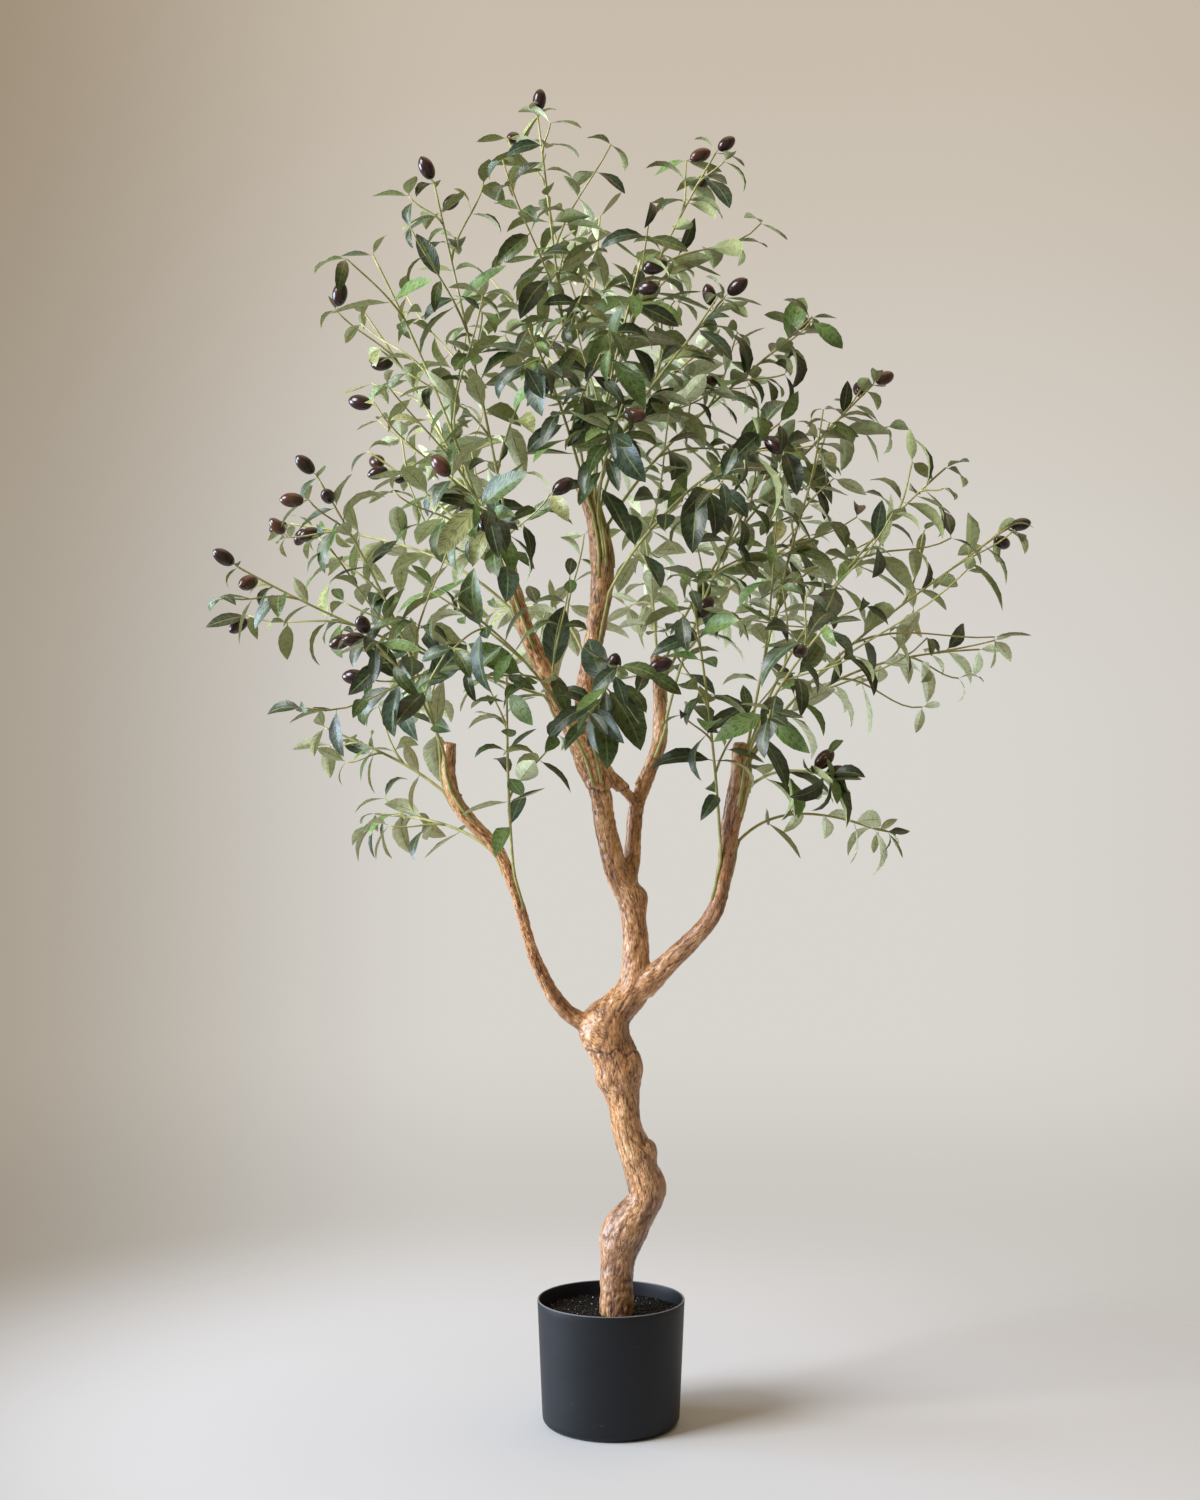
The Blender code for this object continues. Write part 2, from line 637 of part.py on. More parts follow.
def make_sprays(limbs, finish):
    """Grows the sprays together: first all stems, then all twigs, then leaves and olives in turn."""
    space = Space()
    for name, limb in limbs.items():
        corners = [v.co.copy() for v in limb.data.vertices]
        space.hold(name, (corners, [tuple(f.vertices) for f in limb.data.polygons]))
    stems = place_stems(space, limbs)
    shapes, plans = {}, {}
    for number, (name, (stem, normal)) in enumerate(stems.items()):
        chance = random.Random(FIRST_SEED + number)
        carriers = grow_twigs(space, name, stem[1:], chance)
        twigs = [twig_shape(path, TWIG_RADIUS) for label, path in carriers.items() if label != name]
        shapes[name] = [twig_shape(stem, STEM_RADIUS, first_normal=normal), *twigs]
        plans[name] = plan_growth(name, carriers, chance)
    grow_in_turn(space, plans, shapes)
    for name, grown in shapes.items():
        fuse(name, grown, finish)


def main():
    for old in list(bpy.data.objects):
        bpy.data.objects.remove(old)
    make_pot(make_finish("pot", POT_COLOUR, 0.5))
    make_filler(make_finish("filler", FILLER_COLOUR, 0.95))
    limbs = make_limbs(make_finish("bark", BARK_COLOUR, 0.6))
    make_sprays(limbs, make_finish("leaf", LEAF_COLOUR, 0.5))


main()
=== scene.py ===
# %% [markdown]
# # Artificial olive tree in a nursery pot
# A maker builds this kind of tree from four things: a plastic pot weighted with cement and black
# grit, a cast trunk with boughs, wired sprays of cloth leaves, and a few glossy plastic olives. The
# frame holds plain solids of all of them. Here each one gets its real surface.

# %% Load the frame and keep its parts
import math
import random
from collections import namedtuple
from itertools import product

import bpy
import numpy as np
from mathutils import Matrix, Vector, noise
from mathutils.bvhtree import BVHTree
from mathutils.geometry import interpolate_bezier
from mathutils.kdtree import KDTree


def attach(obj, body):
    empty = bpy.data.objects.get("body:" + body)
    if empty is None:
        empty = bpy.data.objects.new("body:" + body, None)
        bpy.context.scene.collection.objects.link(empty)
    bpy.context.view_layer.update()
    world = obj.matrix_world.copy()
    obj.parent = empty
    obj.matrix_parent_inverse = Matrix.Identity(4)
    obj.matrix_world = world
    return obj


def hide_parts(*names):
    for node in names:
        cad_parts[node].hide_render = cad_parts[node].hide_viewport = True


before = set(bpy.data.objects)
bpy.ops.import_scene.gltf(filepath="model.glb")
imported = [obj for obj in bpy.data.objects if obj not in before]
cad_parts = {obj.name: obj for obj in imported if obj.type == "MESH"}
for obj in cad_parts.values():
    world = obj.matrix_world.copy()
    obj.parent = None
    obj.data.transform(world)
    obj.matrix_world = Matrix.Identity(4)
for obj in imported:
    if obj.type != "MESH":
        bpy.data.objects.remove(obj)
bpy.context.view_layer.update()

UP = Vector((0, 0, 1))
GAP = 0.0003  # between pieces that touch

# %% [markdown]
# ## Working as by hand
# Blender's operators act on all that is selected, so each step starts by choosing what it works on.
# These few helpers do that, and they also put a finished piece's place, turn and size into its mesh.


# %% Helpers
def select_only(*objects):
    """Object mode, with just these selected and the first one active."""
    if bpy.context.object and bpy.context.object.mode != "OBJECT":
        bpy.ops.object.mode_set(mode="OBJECT")
    bpy.ops.object.select_all(action="DESELECT")
    for thing in objects:
        thing.select_set(True)
    bpy.context.view_layer.objects.active = objects[0] if objects else None


def named(name):
    """The object that the last primitive made, under its own name."""
    made = bpy.context.object
    made.name = made.data.name = name
    return made


def settle(piece):
    select_only(piece)
    bpy.ops.object.transform_apply(location=True, rotation=True, scale=True)


def apply_modifiers(piece):
    select_only(piece)
    for modifier in list(piece.modifiers):
        bpy.ops.object.modifier_apply(modifier=modifier.name)


def edit_all():
    """Edit mode, with the whole of the active mesh selected."""
    bpy.ops.object.mode_set(mode="EDIT")
    bpy.ops.mesh.select_all(action="SELECT")


def leave_edit():
    bpy.ops.object.mode_set(mode="OBJECT")


def outward_faces(piece):
    """Merges doubles and turns every face outwards."""
    select_only(piece)
    edit_all()
    bpy.ops.mesh.remove_doubles(threshold=1e-6)
    bpy.ops.mesh.normals_make_consistent(inside=False)
    leave_edit()


def triangles(piece):
    piece.data.calc_loop_triangles()
    return len(piece.data.loop_triangles)


def taken_apart(piece):
    """The corners and faces of what is modelled once, to be copied. The piece itself goes."""
    corners = np.array([vert.co[:] for vert in piece.data.vertices])
    faces = [tuple(face.vertices) for face in piece.data.polygons]
    bpy.data.objects.remove(piece)
    return corners, faces


def repeated(faces, corner_count, copies):
    """The faces of this many copies of a shape, one after the other."""
    return [tuple(i + number * corner_count for i in face) for number in range(copies) for face in faces]


def mesh_piece(name, corners, faces, *finishes):
    """A new object from its corners and faces, with these finishes."""
    mesh = bpy.data.meshes.new(name)
    mesh.from_pydata(np.asarray(corners).tolist(), [], faces)
    for finish in finishes:
        mesh.materials.append(finish)
    piece = bpy.data.objects.new(name, mesh)
    bpy.context.scene.collection.objects.link(piece)
    return piece


# %% [markdown]
# ## Camera and studio
# The tree is seen from chest height with a normal lens, far enough off for pot and crown to keep
# their proportions. The studio is a round floor that fades out, further off, into the pale air all
# round it, so that no horizon shows from any side. A sweep of paper would give that too, but light
# would go to and fro in it, and each picture would take twice as long.

# %% Camera
CAMERA_PLACE = (-0.015, -2.926, 0.9166)
SENSOR = 36.0  # mm, along the frame's height
FOCAL_SHARE = 2147 / 1500  # focal length as a share of the frame's height

select_only()
bpy.ops.object.camera_add(location=CAMERA_PLACE, rotation=(math.radians(90), 0, 0))
camera = bpy.context.object
camera.data.sensor_fit = "VERTICAL"
camera.data.sensor_height = SENSOR
camera.data.lens = SENSOR * FOCAL_SHARE
camera.data.dof.use_dof = False
bpy.context.scene.camera = camera
print("lens in mm:", round(camera.data.lens, 1))

# %% Floor
FLOOR_RADIUS = 1.6
FLOOR_RINGS = 12


def extrude_rings(rings):
    """Extrudes what is selected in edit mode through these (radius, height) rings."""
    radius, height = rings[0]
    for next_radius, next_height in rings[1:]:
        rise = (0, 0, next_height - height)
        bpy.ops.mesh.extrude_region_move(TRANSFORM_OT_translate={"value": rise})
        ratio = next_radius / radius
        bpy.ops.transform.resize(value=(ratio, ratio, 1), center_override=(0, 0, next_height))
        radius, height = next_radius, next_height


def inset_rings(radius, count):
    """Insets the selected round face again and again, into rings of equal width."""
    for ring in range(count):
        bpy.ops.mesh.inset(thickness=radius / (count + 1), depth=0)


def arc(centre, radius, start, end, steps):
    """(radius, height) points on an arc of a profile. The angles are in degrees."""
    points = []
    for number in range(steps + 1):
        angle = math.radians(start + (end - start) * number / steps)
        points.append((centre[0] + radius * math.cos(angle), centre[1] + radius * math.sin(angle)))
    return points


select_only()
bpy.ops.mesh.primitive_circle_add(vertices=96, radius=FLOOR_RADIUS, fill_type="NGON")
floor = named("studio_floor")
edit_all()
inset_rings(FLOOR_RADIUS, FLOOR_RINGS)
leave_edit()
print("floor faces:", len(floor.data.polygons))

# %% [markdown]
# ## Writing finishes
# Every finish is a Principled shader with procedural colour, roughness and bump. A small class
# keeps the wiring readable: each line adds a node, and a node's output given as an input is linked.


# %% Node helper
def tinted(colour, times, plus=0.0):
    return tuple(c * times + plus for c in colour)


class Finish:
    """A material whose nodes are added one line at a time."""

    def __init__(self, name):
        self.material = bpy.data.materials.new(name)
        self.material.use_nodes = True
        self.tree = self.material.node_tree
        self.shader = self.tree.nodes["Principled BSDF"]

    @classmethod
    def over(cls, tree):
        """The same helpers over a node tree that is there already, such as the world's."""
        made = cls.__new__(cls)
        made.tree = tree
        return made

    def feed(self, node, inputs):
        for key, value in inputs.items():
            if isinstance(value, bpy.types.NodeSocket):
                self.tree.links.new(value, node.inputs[key])
            else:
                node.inputs[key].default_value = value

    def add(self, kind, inputs=None, **settings):
        node = self.tree.nodes.new("ShaderNode" + kind)
        for key, value in settings.items():
            setattr(node, key, value)
        self.feed(node, inputs or {})
        return node

    def place(self):
        return self.add("TexCoord").outputs["Object"]

    def noise(self, place, scale, detail=4.0, roughness=0.5, stretch=None):
        """Noise from 0 to 1. stretch squeezes the place first, one number for each axis."""
        if stretch:
            place = self.add("Mapping", {"Vector": place, "Scale": stretch}).outputs["Vector"]
        inputs = {"Vector": place, "Scale": scale, "Detail": detail, "Roughness": roughness}
        return self.add("TexNoise", inputs).outputs["Fac"]

    def ramp(self, factor, *stops):
        """A colour ramp with these (place, colour) stops, or grey levels."""
        node = self.add("ValToRGB", {"Fac": factor})
        band = node.color_ramp
        while len(band.elements) < len(stops):
            band.elements.new(1.0)
        for element, (where, colour) in zip(band.elements, stops):
            element.position = where
            element.color = (*colour, 1) if isinstance(colour, tuple) else (colour,) * 3 + (1,)
        return node.outputs["Color"]

    def part(self, vector, axis):
        return self.add("SeparateXYZ", {"Vector": vector}).outputs[axis]

    def part_of_way(self, vector, axis):
        """One part of a vector, once its length is made 1."""
        way = self.add("VectorMath", {0: vector}, operation="NORMALIZE").outputs["Vector"]
        return self.part(way, axis)

    def mix(self, factor, a, b, blend="MIX"):
        node = self.add("Mix", data_type="RGBA", blend_type=blend)
        for socket, value in ((node.inputs[0], factor), (node.inputs[6], a), (node.inputs[7], b)):
            if isinstance(value, bpy.types.NodeSocket):
                self.tree.links.new(value, socket)
            else:
                socket.default_value = (*value, 1) if isinstance(value, tuple) else value
        return node.outputs[2]

    def multiplied(self, first, *others):
        for other in others:
            first = self.mix(1.0, first, other, "MULTIPLY")
        return first

    def sums(self, operation, a, b=0.0):
        return self.add("Math", {0: a, 1: b}, operation=operation).outputs["Value"]

    def times(self, a, b):
        return self.sums("MULTIPLY", a, b)

    def between(self, value, start, end, to=(0.0, 1.0), soft=False):
        """Maps start and end to these two values, and holds them beyond. soft eases it in and out."""
        span = {"Value": value, "From Min": start, "From Max": end, "To Min": to[0], "To Max": to[1]}
        curve = "SMOOTHSTEP" if soft else "LINEAR"
        return self.add("MapRange", span, interpolation_type=curve).outputs["Result"]

    def spread(self, value, low, high):
        """Maps 0 to 1 to low to high."""
        return self.between(value, 0.0, 1.0, (low, high))

    def bump(self, height, distance, strength=1.0):
        inputs = {"Height": height, "Distance": distance, "Strength": strength}
        return self.add("Bump", inputs).outputs["Normal"]

    def finished(self, **inputs):
        self.feed(self.shader, {key.replace("_", " "): value for key, value in inputs.items()})
        print("finish", self.material.name, "nodes:", len(self.tree.nodes))
        return self.material


# %% [markdown]
# ## Floor and air
# The floor under the tree is matt white paint that takes the shadow. Half a metre from the tree it
# starts to thin out, and further off only the air is left, with the colour it has at the horizon.
# The air itself is warmer higher up, and warmer and darker at both sides and behind the camera.

# %% Floor and air finishes
FADE = (0.50, 1.45)  # metres from the tree
FLOOR_COLOUR = (0.575, 0.605, 0.640)
HORIZON = (0.690, 0.665, 0.625)
OVERHEAD = (0.580, 0.505, 0.410)
RISE_EDGES = (0.0, 0.36)  # sines of the rises between which the horizon's colour gives way
LOW_AIR = 0.87  # brightness of the air where the floor thins out, as a share
LOW_EDGES = (-0.21, -0.13)
FULL = (1.0, 1.0, 1.0)
# (axis, the sines between which it changes, how much of each colour is left before and after)
SHADES = (
    ("X", (-0.30, -0.05), (0.57, 0.515, 0.440), FULL),  # far left
    ("X", (0.14, 0.72), FULL, (0.60, 0.54, 0.46)),  # far right
    ("Y", (-0.6, 0.1), (0.56, 0.50, 0.42), FULL),  # behind the camera
)


def shade(finish, way):
    """What is left of each colour: all round, the air is warmer and darker than in the front view."""
    shades = []
    for axis, edges, before, after in SHADES:
        share = finish.between(finish.part_of_way(way, axis), *edges, soft=True)
        shades.append(finish.mix(share, before, after))
    return finish.multiplied(*shades)


def floor_finish():
    """Matt white paint that thins out to nothing between the two distances of FADE."""
    paint = Finish("studio_paint")
    place = paint.place()
    far = paint.add("VectorMath", {0: place}, operation="LENGTH").outputs["Value"]
    left = paint.between(far, *FADE, to=(1.0, 0.0), soft=True)
    mottle = paint.noise(place, 3.0, 3.0)
    ground = paint.mix(mottle, tinted(FLOOR_COLOUR, 0.98), FLOOR_COLOUR)
    return paint.finished(Base_Color=ground, Roughness=0.9, Specular_IOR_Level=0.0, Alpha=left)


def make_air():
    """The world: a glow all round, that the floor fades into."""
    air = bpy.data.worlds.new("studio_air")
    air.use_nodes = True
    nodes = Finish.over(air.node_tree)
    direction = nodes.add("TexCoord").outputs["Generated"]
    height = nodes.part(direction, "Z")
    sky = nodes.mix(nodes.between(height, *RISE_EDGES, soft=True), HORIZON, OVERHEAD)
    low = nodes.between(height, *LOW_EDGES, to=(LOW_AIR, 1.0), soft=True)
    sky = nodes.multiplied(sky, low)
    colour = nodes.multiplied(sky, shade(nodes, direction))
    nodes.feed(air.node_tree.nodes["Background"], {"Color": colour, "Strength": 1.0})
    return air


floor.data.materials.append(floor_finish())
bpy.context.scene.world = make_air()
bpy.context.scene.view_settings.view_transform = "Standard"
print("air nodes:", len(bpy.context.scene.world.node_tree.nodes))

# %% [markdown]
# ## Light
# One broad soft light stands far off on the left in front of the tree, as a tall window would. It
# models the trunk and the pot from that side and throws a soft shadow to the right and back. A weak
# bluish panel on the left gives the pot its cool edge, and a warm ceiling far above fills in the
# shadows. The pale air fills the shaded leaves.

# %% Lights
LIGHTS = {
    "window": dict(place=(-9.3, -4.7, 7.0), size=(5.6, 6.6), power=2020, colour=(0.96, 0.97, 1.00)),
    "side_panel": dict(place=(-6.0, 0.4, 1.2), size=(3.0, 2.4), power=400, colour=(0.74, 0.88, 1.10)),
    "ceiling": dict(place=(0.8, 0.6, 6.5), size=(6.0, 6.0), power=92, colour=(1.00, 0.60, 0.28)),
}
AIM = Vector((0, 0, 0.8))

for name, light in LIGHTS.items():
    select_only()
    bpy.ops.object.light_add(type="AREA", location=light["place"])
    lamp = named(name)
    lamp.data.shape = "RECTANGLE"
    lamp.data.size, lamp.data.size_y = light["size"]
    lamp.data.energy = light["power"]
    lamp.data.color = light["colour"]
    lamp.visible_camera = False
    lamp.rotation_euler = (AIM - lamp.location).to_track_quat("-Z", "Y").to_euler()
print("lights:", ", ".join(LIGHTS))

# %% How often light may bounce
# Matt leaves in pale air look the same with a few bounces as with many
bounces = bpy.context.scene.cycles
bounces.max_bounces = 4
bounces.diffuse_bounces = 2
bounces.glossy_bounces = 2
bounces.transmission_bounces = 0
print("bounces:", bounces.max_bounces)

# %% [markdown]
# ## Pot
# A nursery pot is moulded plastic with a thin wall, a slight taper and a rounded lower corner. It
# could be spun from a profile, but it is just as easy to start with a filled circle for its
# underside and to extrude that face ring by ring: out round the corner, up the wall, over the rim
# and down the inside. The last ring is the inner floor, so the shell is closed.

# %% Pot shell
POT_HEIGHT = 0.170
POT_RIM_RADIUS = 0.1004
POT_BASE_RADIUS = 0.0930
POT_CORNER = 0.012
POT_WALL = 0.0026
POT_FLOOR = 0.004
POT_SIDES = 128
CORNER_STEPS = 8
RIM_STEPS = 6


def wall_radius(height):
    """The pot's outer radius at this height."""
    return POT_BASE_RADIUS + (POT_RIM_RADIUS - POT_BASE_RADIUS) * height / POT_HEIGHT


def round_piece(name, rings):
    """A closed round piece: a filled circle extruded through (radius, height) rings."""
    select_only()
    radius, height = rings[0]
    bpy.ops.mesh.primitive_circle_add(
        vertices=POT_SIDES, radius=radius, fill_type="NGON", location=(0, 0, height)
    )
    piece = named(name)
    settle(piece)
    edit_all()
    bpy.ops.mesh.select_mode(type="FACE")
    extrude_rings(rings)
    leave_edit()
    return piece


half_wall = POT_WALL / 2
corner = arc((wall_radius(POT_CORNER) - POT_CORNER, POT_CORNER), POT_CORNER, -90, 0, CORNER_STEPS)
rim = arc((POT_RIM_RADIUS - half_wall, POT_HEIGHT - half_wall), half_wall, 0, 180, RIM_STEPS)
outside = [(wall_radius(z), z) for z in (0.05, 0.09, 0.13, 0.16)]
inside = [(wall_radius(z) - POT_WALL, z) for z in (0.16, 0.13, 0.06, POT_CORNER)]
inner_floor = [(wall_radius(0) - POT_CORNER, POT_FLOOR)]
pot = round_piece("pot_shell", [*corner, *outside, *rim, *inside, *inner_floor])
outward_faces(pot)
bpy.ops.object.shade_smooth_by_angle(angle=math.radians(40))
print("pot triangles:", triangles(pot))


# %% Pot finish
def pot_finish():
    """Satin charcoal plastic with a faint mottle, a fine grain, thin scuffs and a painted highlight
    along the rim.
    """
    plastic = Finish("pot_plastic")
    place = plastic.place()
    mottle = plastic.noise(place, 14.0, 5.0)
    grain = plastic.noise(place, 1100.0, 2.0)
    scuff = plastic.noise(place, 5.0, 9.0, 0.78, stretch=(9.0, 9.0, 30.0))
    thin = plastic.ramp(scuff, (0.63, 0.0), (0.665, 0.16), (0.70, 0.0))
    ground = plastic.ramp(mottle, (0.3, (0.0046, 0.0064, 0.0100)), (0.7, (0.0062, 0.0084, 0.0128)))
    scuffed = plastic.mix(thin, ground, (0.20, 0.21, 0.22))
    # painted highlight: the top of the rim is paler, as if it caught the light
    painted_rim_highlight = plastic.between(plastic.part(place, "Z"), POT_HEIGHT - POT_WALL / 2, POT_HEIGHT)
    colour = plastic.mix(painted_rim_highlight, scuffed, (0.20, 0.21, 0.23))
    return plastic.finished(
        Base_Color=colour, Roughness=plastic.spread(mottle, 0.46, 0.56), Specular_IOR_Level=0.33,
        Normal=plastic.bump(grain, 0.00006, 0.4),
    )


pot.data.materials.append(pot_finish())
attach(pot, "root")
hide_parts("pot")

# %% [markdown]
# ## Filler
# The pot is weighted with cement under a layer of black grit. The bed is a round block whose top
# face is inset again and again, which gives rings of small faces that noise can roughen. On it lie
# a thousand grains or so: one small faceted stone is modelled once, and each copy has its own turn
# and size and is nearly half sunk in the bed.

# %% Filler bed
FILLER_TOP = 0.150
FILLER_RADIUS = wall_radius(FILLER_TOP) - POT_WALL - 1.5 * GAP
BED_RINGS = 44
BED_WAVES = ((38, 0.0014, 1.0), (420, 0.0009, 4.0))  # (noise scale, height, third place of the noise)
BED_SINK = 0.0012  # how far its middle lies below the filler's top
BED_HEAP = 0.0020  # how far it rises at the wall
BED_EDGE = 0.0015  # how far its rim lies below the filler's top, before it is roughened
low = POT_FLOOR + GAP


def bed_height(x, y):
    """The bed's surface: rough, a little hollow, and heaped against the wall."""
    height = FILLER_TOP - BED_SINK
    for scale, swell, seed in BED_WAVES:
        height += swell * noise.noise(Vector((x * scale, y * scale, seed)))
    return height + BED_HEAP * (math.hypot(x, y) / FILLER_RADIUS) ** 6


bed = round_piece("filler_bed", [
    (wall_radius(0) - POT_CORNER - GAP, low),
    (wall_radius(POT_CORNER) - POT_WALL - 1.5 * GAP, POT_CORNER),
    (FILLER_RADIUS, FILLER_TOP - BED_EDGE),
])
bpy.ops.object.mode_set(mode="EDIT")  # the top face is still the selected one
inset_rings(FILLER_RADIUS, BED_RINGS)
leave_edit()
outward_faces(bed)
for vert in bed.data.vertices:
    if vert.co.z > FILLER_TOP - 2 * BED_EDGE:
        vert.co.z = bed_height(vert.co.x, vert.co.y)
select_only(bed)
bpy.ops.object.shade_smooth_by_angle(angle=math.radians(50))
print("bed triangles:", triangles(bed))

# %% Grit
GRAIN_COUNT = 1100
GRAIN_SIZES = (0.0008, 0.0024)
GRAIN_RISE = 0.2  # of its size, that a grain's middle lies above the bed

chance = random.Random(71)
select_only()
bpy.ops.mesh.primitive_ico_sphere_add(subdivisions=1, radius=1.0)
stone = named("stone")
for vert in stone.data.vertices:
    vert.co *= chance.uniform(0.72, 1.05)
stone_corners, stone_faces = taken_apart(stone)
grains = []
for number in range(GRAIN_COUNT):
    reach = FILLER_RADIUS * 0.98 * math.sqrt(chance.random())
    heading = chance.uniform(0, 2 * math.pi)
    x, y = reach * math.cos(heading), reach * math.sin(heading)
    size = chance.uniform(*GRAIN_SIZES)
    shape = Matrix.Diagonal((size, size * chance.uniform(0.6, 1.0), size * 0.8, 1))
    turn = Matrix.Rotation(chance.uniform(0, 6.28), 4, Vector((chance.random(), chance.random(), 1)))
    middle = Vector((x, y, bed_height(x, y) + size * GRAIN_RISE))
    grains.append(stone_corners @ np.array((turn @ shape).to_3x3()).T + np.array(middle))
grit_faces = repeated(stone_faces, len(stone_corners), GRAIN_COUNT)
grit = mesh_piece("filler_grit", np.concatenate(grains), grit_faces)
print("grains:", GRAIN_COUNT, "triangles:", triangles(grit))


# %% Filler finishes
def stone_finish(name, light, roughness, shine):
    """Black crushed stone. light is its palest colour, and roughness its most and least."""
    black = Finish(name)
    speck = black.noise(black.place(), 420.0, 3.0)
    colour = black.ramp(speck, (0.35, (0.0015, 0.0015, 0.0020)), (0.72, light))
    rough = black.spread(speck, *roughness)
    bump = black.bump(speck, 0.0004, 0.6)
    return black.finished(Base_Color=colour, Roughness=rough, Specular_IOR_Level=shine, Normal=bump)


bed.data.materials.append(stone_finish("black_dust", (0.012, 0.012, 0.013), (0.85, 0.60), 0.12))
grit.data.materials.append(stone_finish("black_grit", (0.024, 0.026, 0.030), (0.36, 0.12), 0.50))
for piece in (bed, grit):
    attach(piece, "root")
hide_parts("filler")

# %% [markdown]
# ## Limbs: where they run
# The trunk and the boughs were cast in one mould, and the frame's limbs follow named bends and
# girths. The same bends and girths are written here again, because the bark, the stems and the
# leaves all grow from them. A table of a few bends for each limb is easier to adjust than a mesh.

# %% Bends, knots and girths of the limbs
# Bends are (x, y, z), and a girth is (share of the length, radius)
TRUNK_FOOT_RADIUS = 0.0238
TRUNK_FORK_RADIUS = 0.0130
TRUNK_BENDS = (
    (0.007, 0.000, FILLER_TOP + GAP), (0.011, 0.004, 0.220), (0.026, 0.010, 0.268),
    (0.044, 0.012, 0.305), (0.036, 0.008, 0.350), (0.023, 0.000, 0.395), (0.014, -0.006, 0.450),
    (0.006, -0.006, 0.505), (0.006, -0.002, 0.550), (0.030, 0.002, 0.600), (0.033, 0.004, 0.670),
    (0.024, 0.006, 0.715), (0.006, 0.006, 0.755), (-0.008, 0.004, 0.812), (-0.016, 0.002, 0.866),
    (-0.034, 0.000, 0.940),
)
# A knot is (height, half its height, how far it swells, the side it swells to in degrees)
TRUNK_KNOTS = (
    (0.258, 0.030, 0.0125, 190), (0.262, 0.026, 0.006, 0), (0.322, 0.026, 0.010, 0),
    (0.366, 0.015, 0.012, 20), (0.470, 0.014, 0.0075, 180), (0.486, 0.034, 0.016, 10),
    (0.505, 0.045, 0.010, 190), (0.538, 0.032, 0.023, 180), (0.592, 0.030, 0.010, 20),
    (0.712, 0.015, 0.011, 10), (0.925, 0.040, 0.012, 0), (0.925, 0.045, 0.014, 180),
)
BOUGHS = {
    "bough_left": (
        ((-0.006, -0.002, 0.530), (-0.060, -0.010, 0.561), (-0.100, -0.028, 0.628),
         (-0.126, -0.040, 0.715), (-0.150, -0.048, 0.778), (-0.200, -0.060, 0.838),
         (-0.216, -0.066, 0.880), (-0.215, -0.070, 0.924)),
        ((0.0, 0.0110), (0.5, 0.0072), (0.75, 0.0095), (1.0, 0.0085)),
    ),
    "bough_right": (
        ((0.036, 0.000, 0.588), (0.085, -0.014, 0.634), (0.137, -0.030, 0.693), (0.153, -0.040, 0.755),
         (0.160, -0.046, 0.815), (0.171, -0.055, 0.872), (0.173, -0.060, 0.924)),
        ((0.0, 0.0150), (0.45, 0.0110), (0.8, 0.0140), (1.0, 0.0095)),
    ),
    "bough_centre": (
        ((0.020, 0.008, 0.718), (0.030, 0.024, 0.768), (0.036, 0.036, 0.838), (0.056, 0.050, 0.893),
         (0.069, 0.060, 0.936), (0.068, 0.074, 1.000), (0.064, 0.084, 1.046)),
        ((0.0, 0.0115), (0.5, 0.0102), (1.0, 0.0080)),
    ),
    "bough_upper_right": (
        ((-0.028, 0.004, 0.925), (-0.034, 0.010, 0.985), (-0.026, 0.016, 1.050), (-0.013, 0.020, 1.130),
         (-0.012, 0.020, 1.175), (-0.022, 0.025, 1.235), (-0.042, 0.030, 1.287)),
        ((0.0, 0.0165), (0.3, 0.0130), (0.65, 0.0160), (0.8, 0.0125), (1.0, 0.0095)),
    ),
    "bough_upper_left": (
        ((-0.036, -0.002, 0.925), (-0.061, -0.004, 0.962), (-0.081, -0.008, 1.005),
         (-0.107, -0.012, 1.060), (-0.125, -0.016, 1.108), (-0.138, -0.020, 1.155)),
        ((0.0, 0.0155), (0.5, 0.0120), (1.0, 0.0085)),
    ),
    "bough_bridge": (
        ((-0.012, 0.004, 0.893), (0.012, 0.018, 0.868), (0.036, 0.036, 0.842)),
        ((0.0, 0.0085), (1.0, 0.0070)),
    ),
}
LIMB_RINGS = {  # rings of each of the frame's limbs
    "trunk": 36, "bough_left": 20, "bough_right": 18, "bough_centre": 16,
    "bough_upper_right": 18, "bough_upper_left": 14, "bough_bridge": 6,
}
print("limbs:", len(LIMB_RINGS), "knots:", len(TRUNK_KNOTS))

# %% Curves through the bends
CURVE_STEPS = 12  # samples of each stretch of a curve, before they are spaced evenly


def evenly(points, count):
    """count points at equal distances along the polyline."""
    reached = [0.0]
    for a, b in zip(points, points[1:]):
        reached.append(reached[-1] + (b - a).length)
    spaced, k = [], 0
    for i in range(count):
        target = reached[-1] * i / (count - 1)
        while k < len(points) - 2 and reached[k + 1] < target:
            k += 1
        share = (target - reached[k]) / (reached[k + 1] - reached[k])
        spaced.append(points[k].lerp(points[k + 1], share))
    return spaced


def smooth_path(bends, count):
    """A smooth curve through the bends, as evenly spaced points."""
    points = [Vector(p) for p in bends]
    padded = [2 * points[0] - points[1], *points, 2 * points[-1] - points[-2]]
    dense = []
    for a, b, c, d in zip(padded, padded[1:], padded[2:], padded[3:]):
        for step in range(CURVE_STEPS):
            t = step / CURVE_STEPS
            bend = (2 * a - 5 * b + 4 * c - d) * t + (3 * b - a - 3 * c + d) * t * t
            dense.append(b + 0.5 * t * ((c - a) + bend))
    return evenly([*dense, points[-1]], count)


def length_of(path):
    return sum((b - a).length for a, b in zip(path, path[1:]))


def limb_path(name, finer=1):
    bends = TRUNK_BENDS if name == "trunk" else BOUGHS[name][0]
    return smooth_path(bends, LIMB_RINGS[name] * finer)


print("limb lengths in metres:", {name: round(length_of(limb_path(name)), 3) for name in LIMB_RINGS})


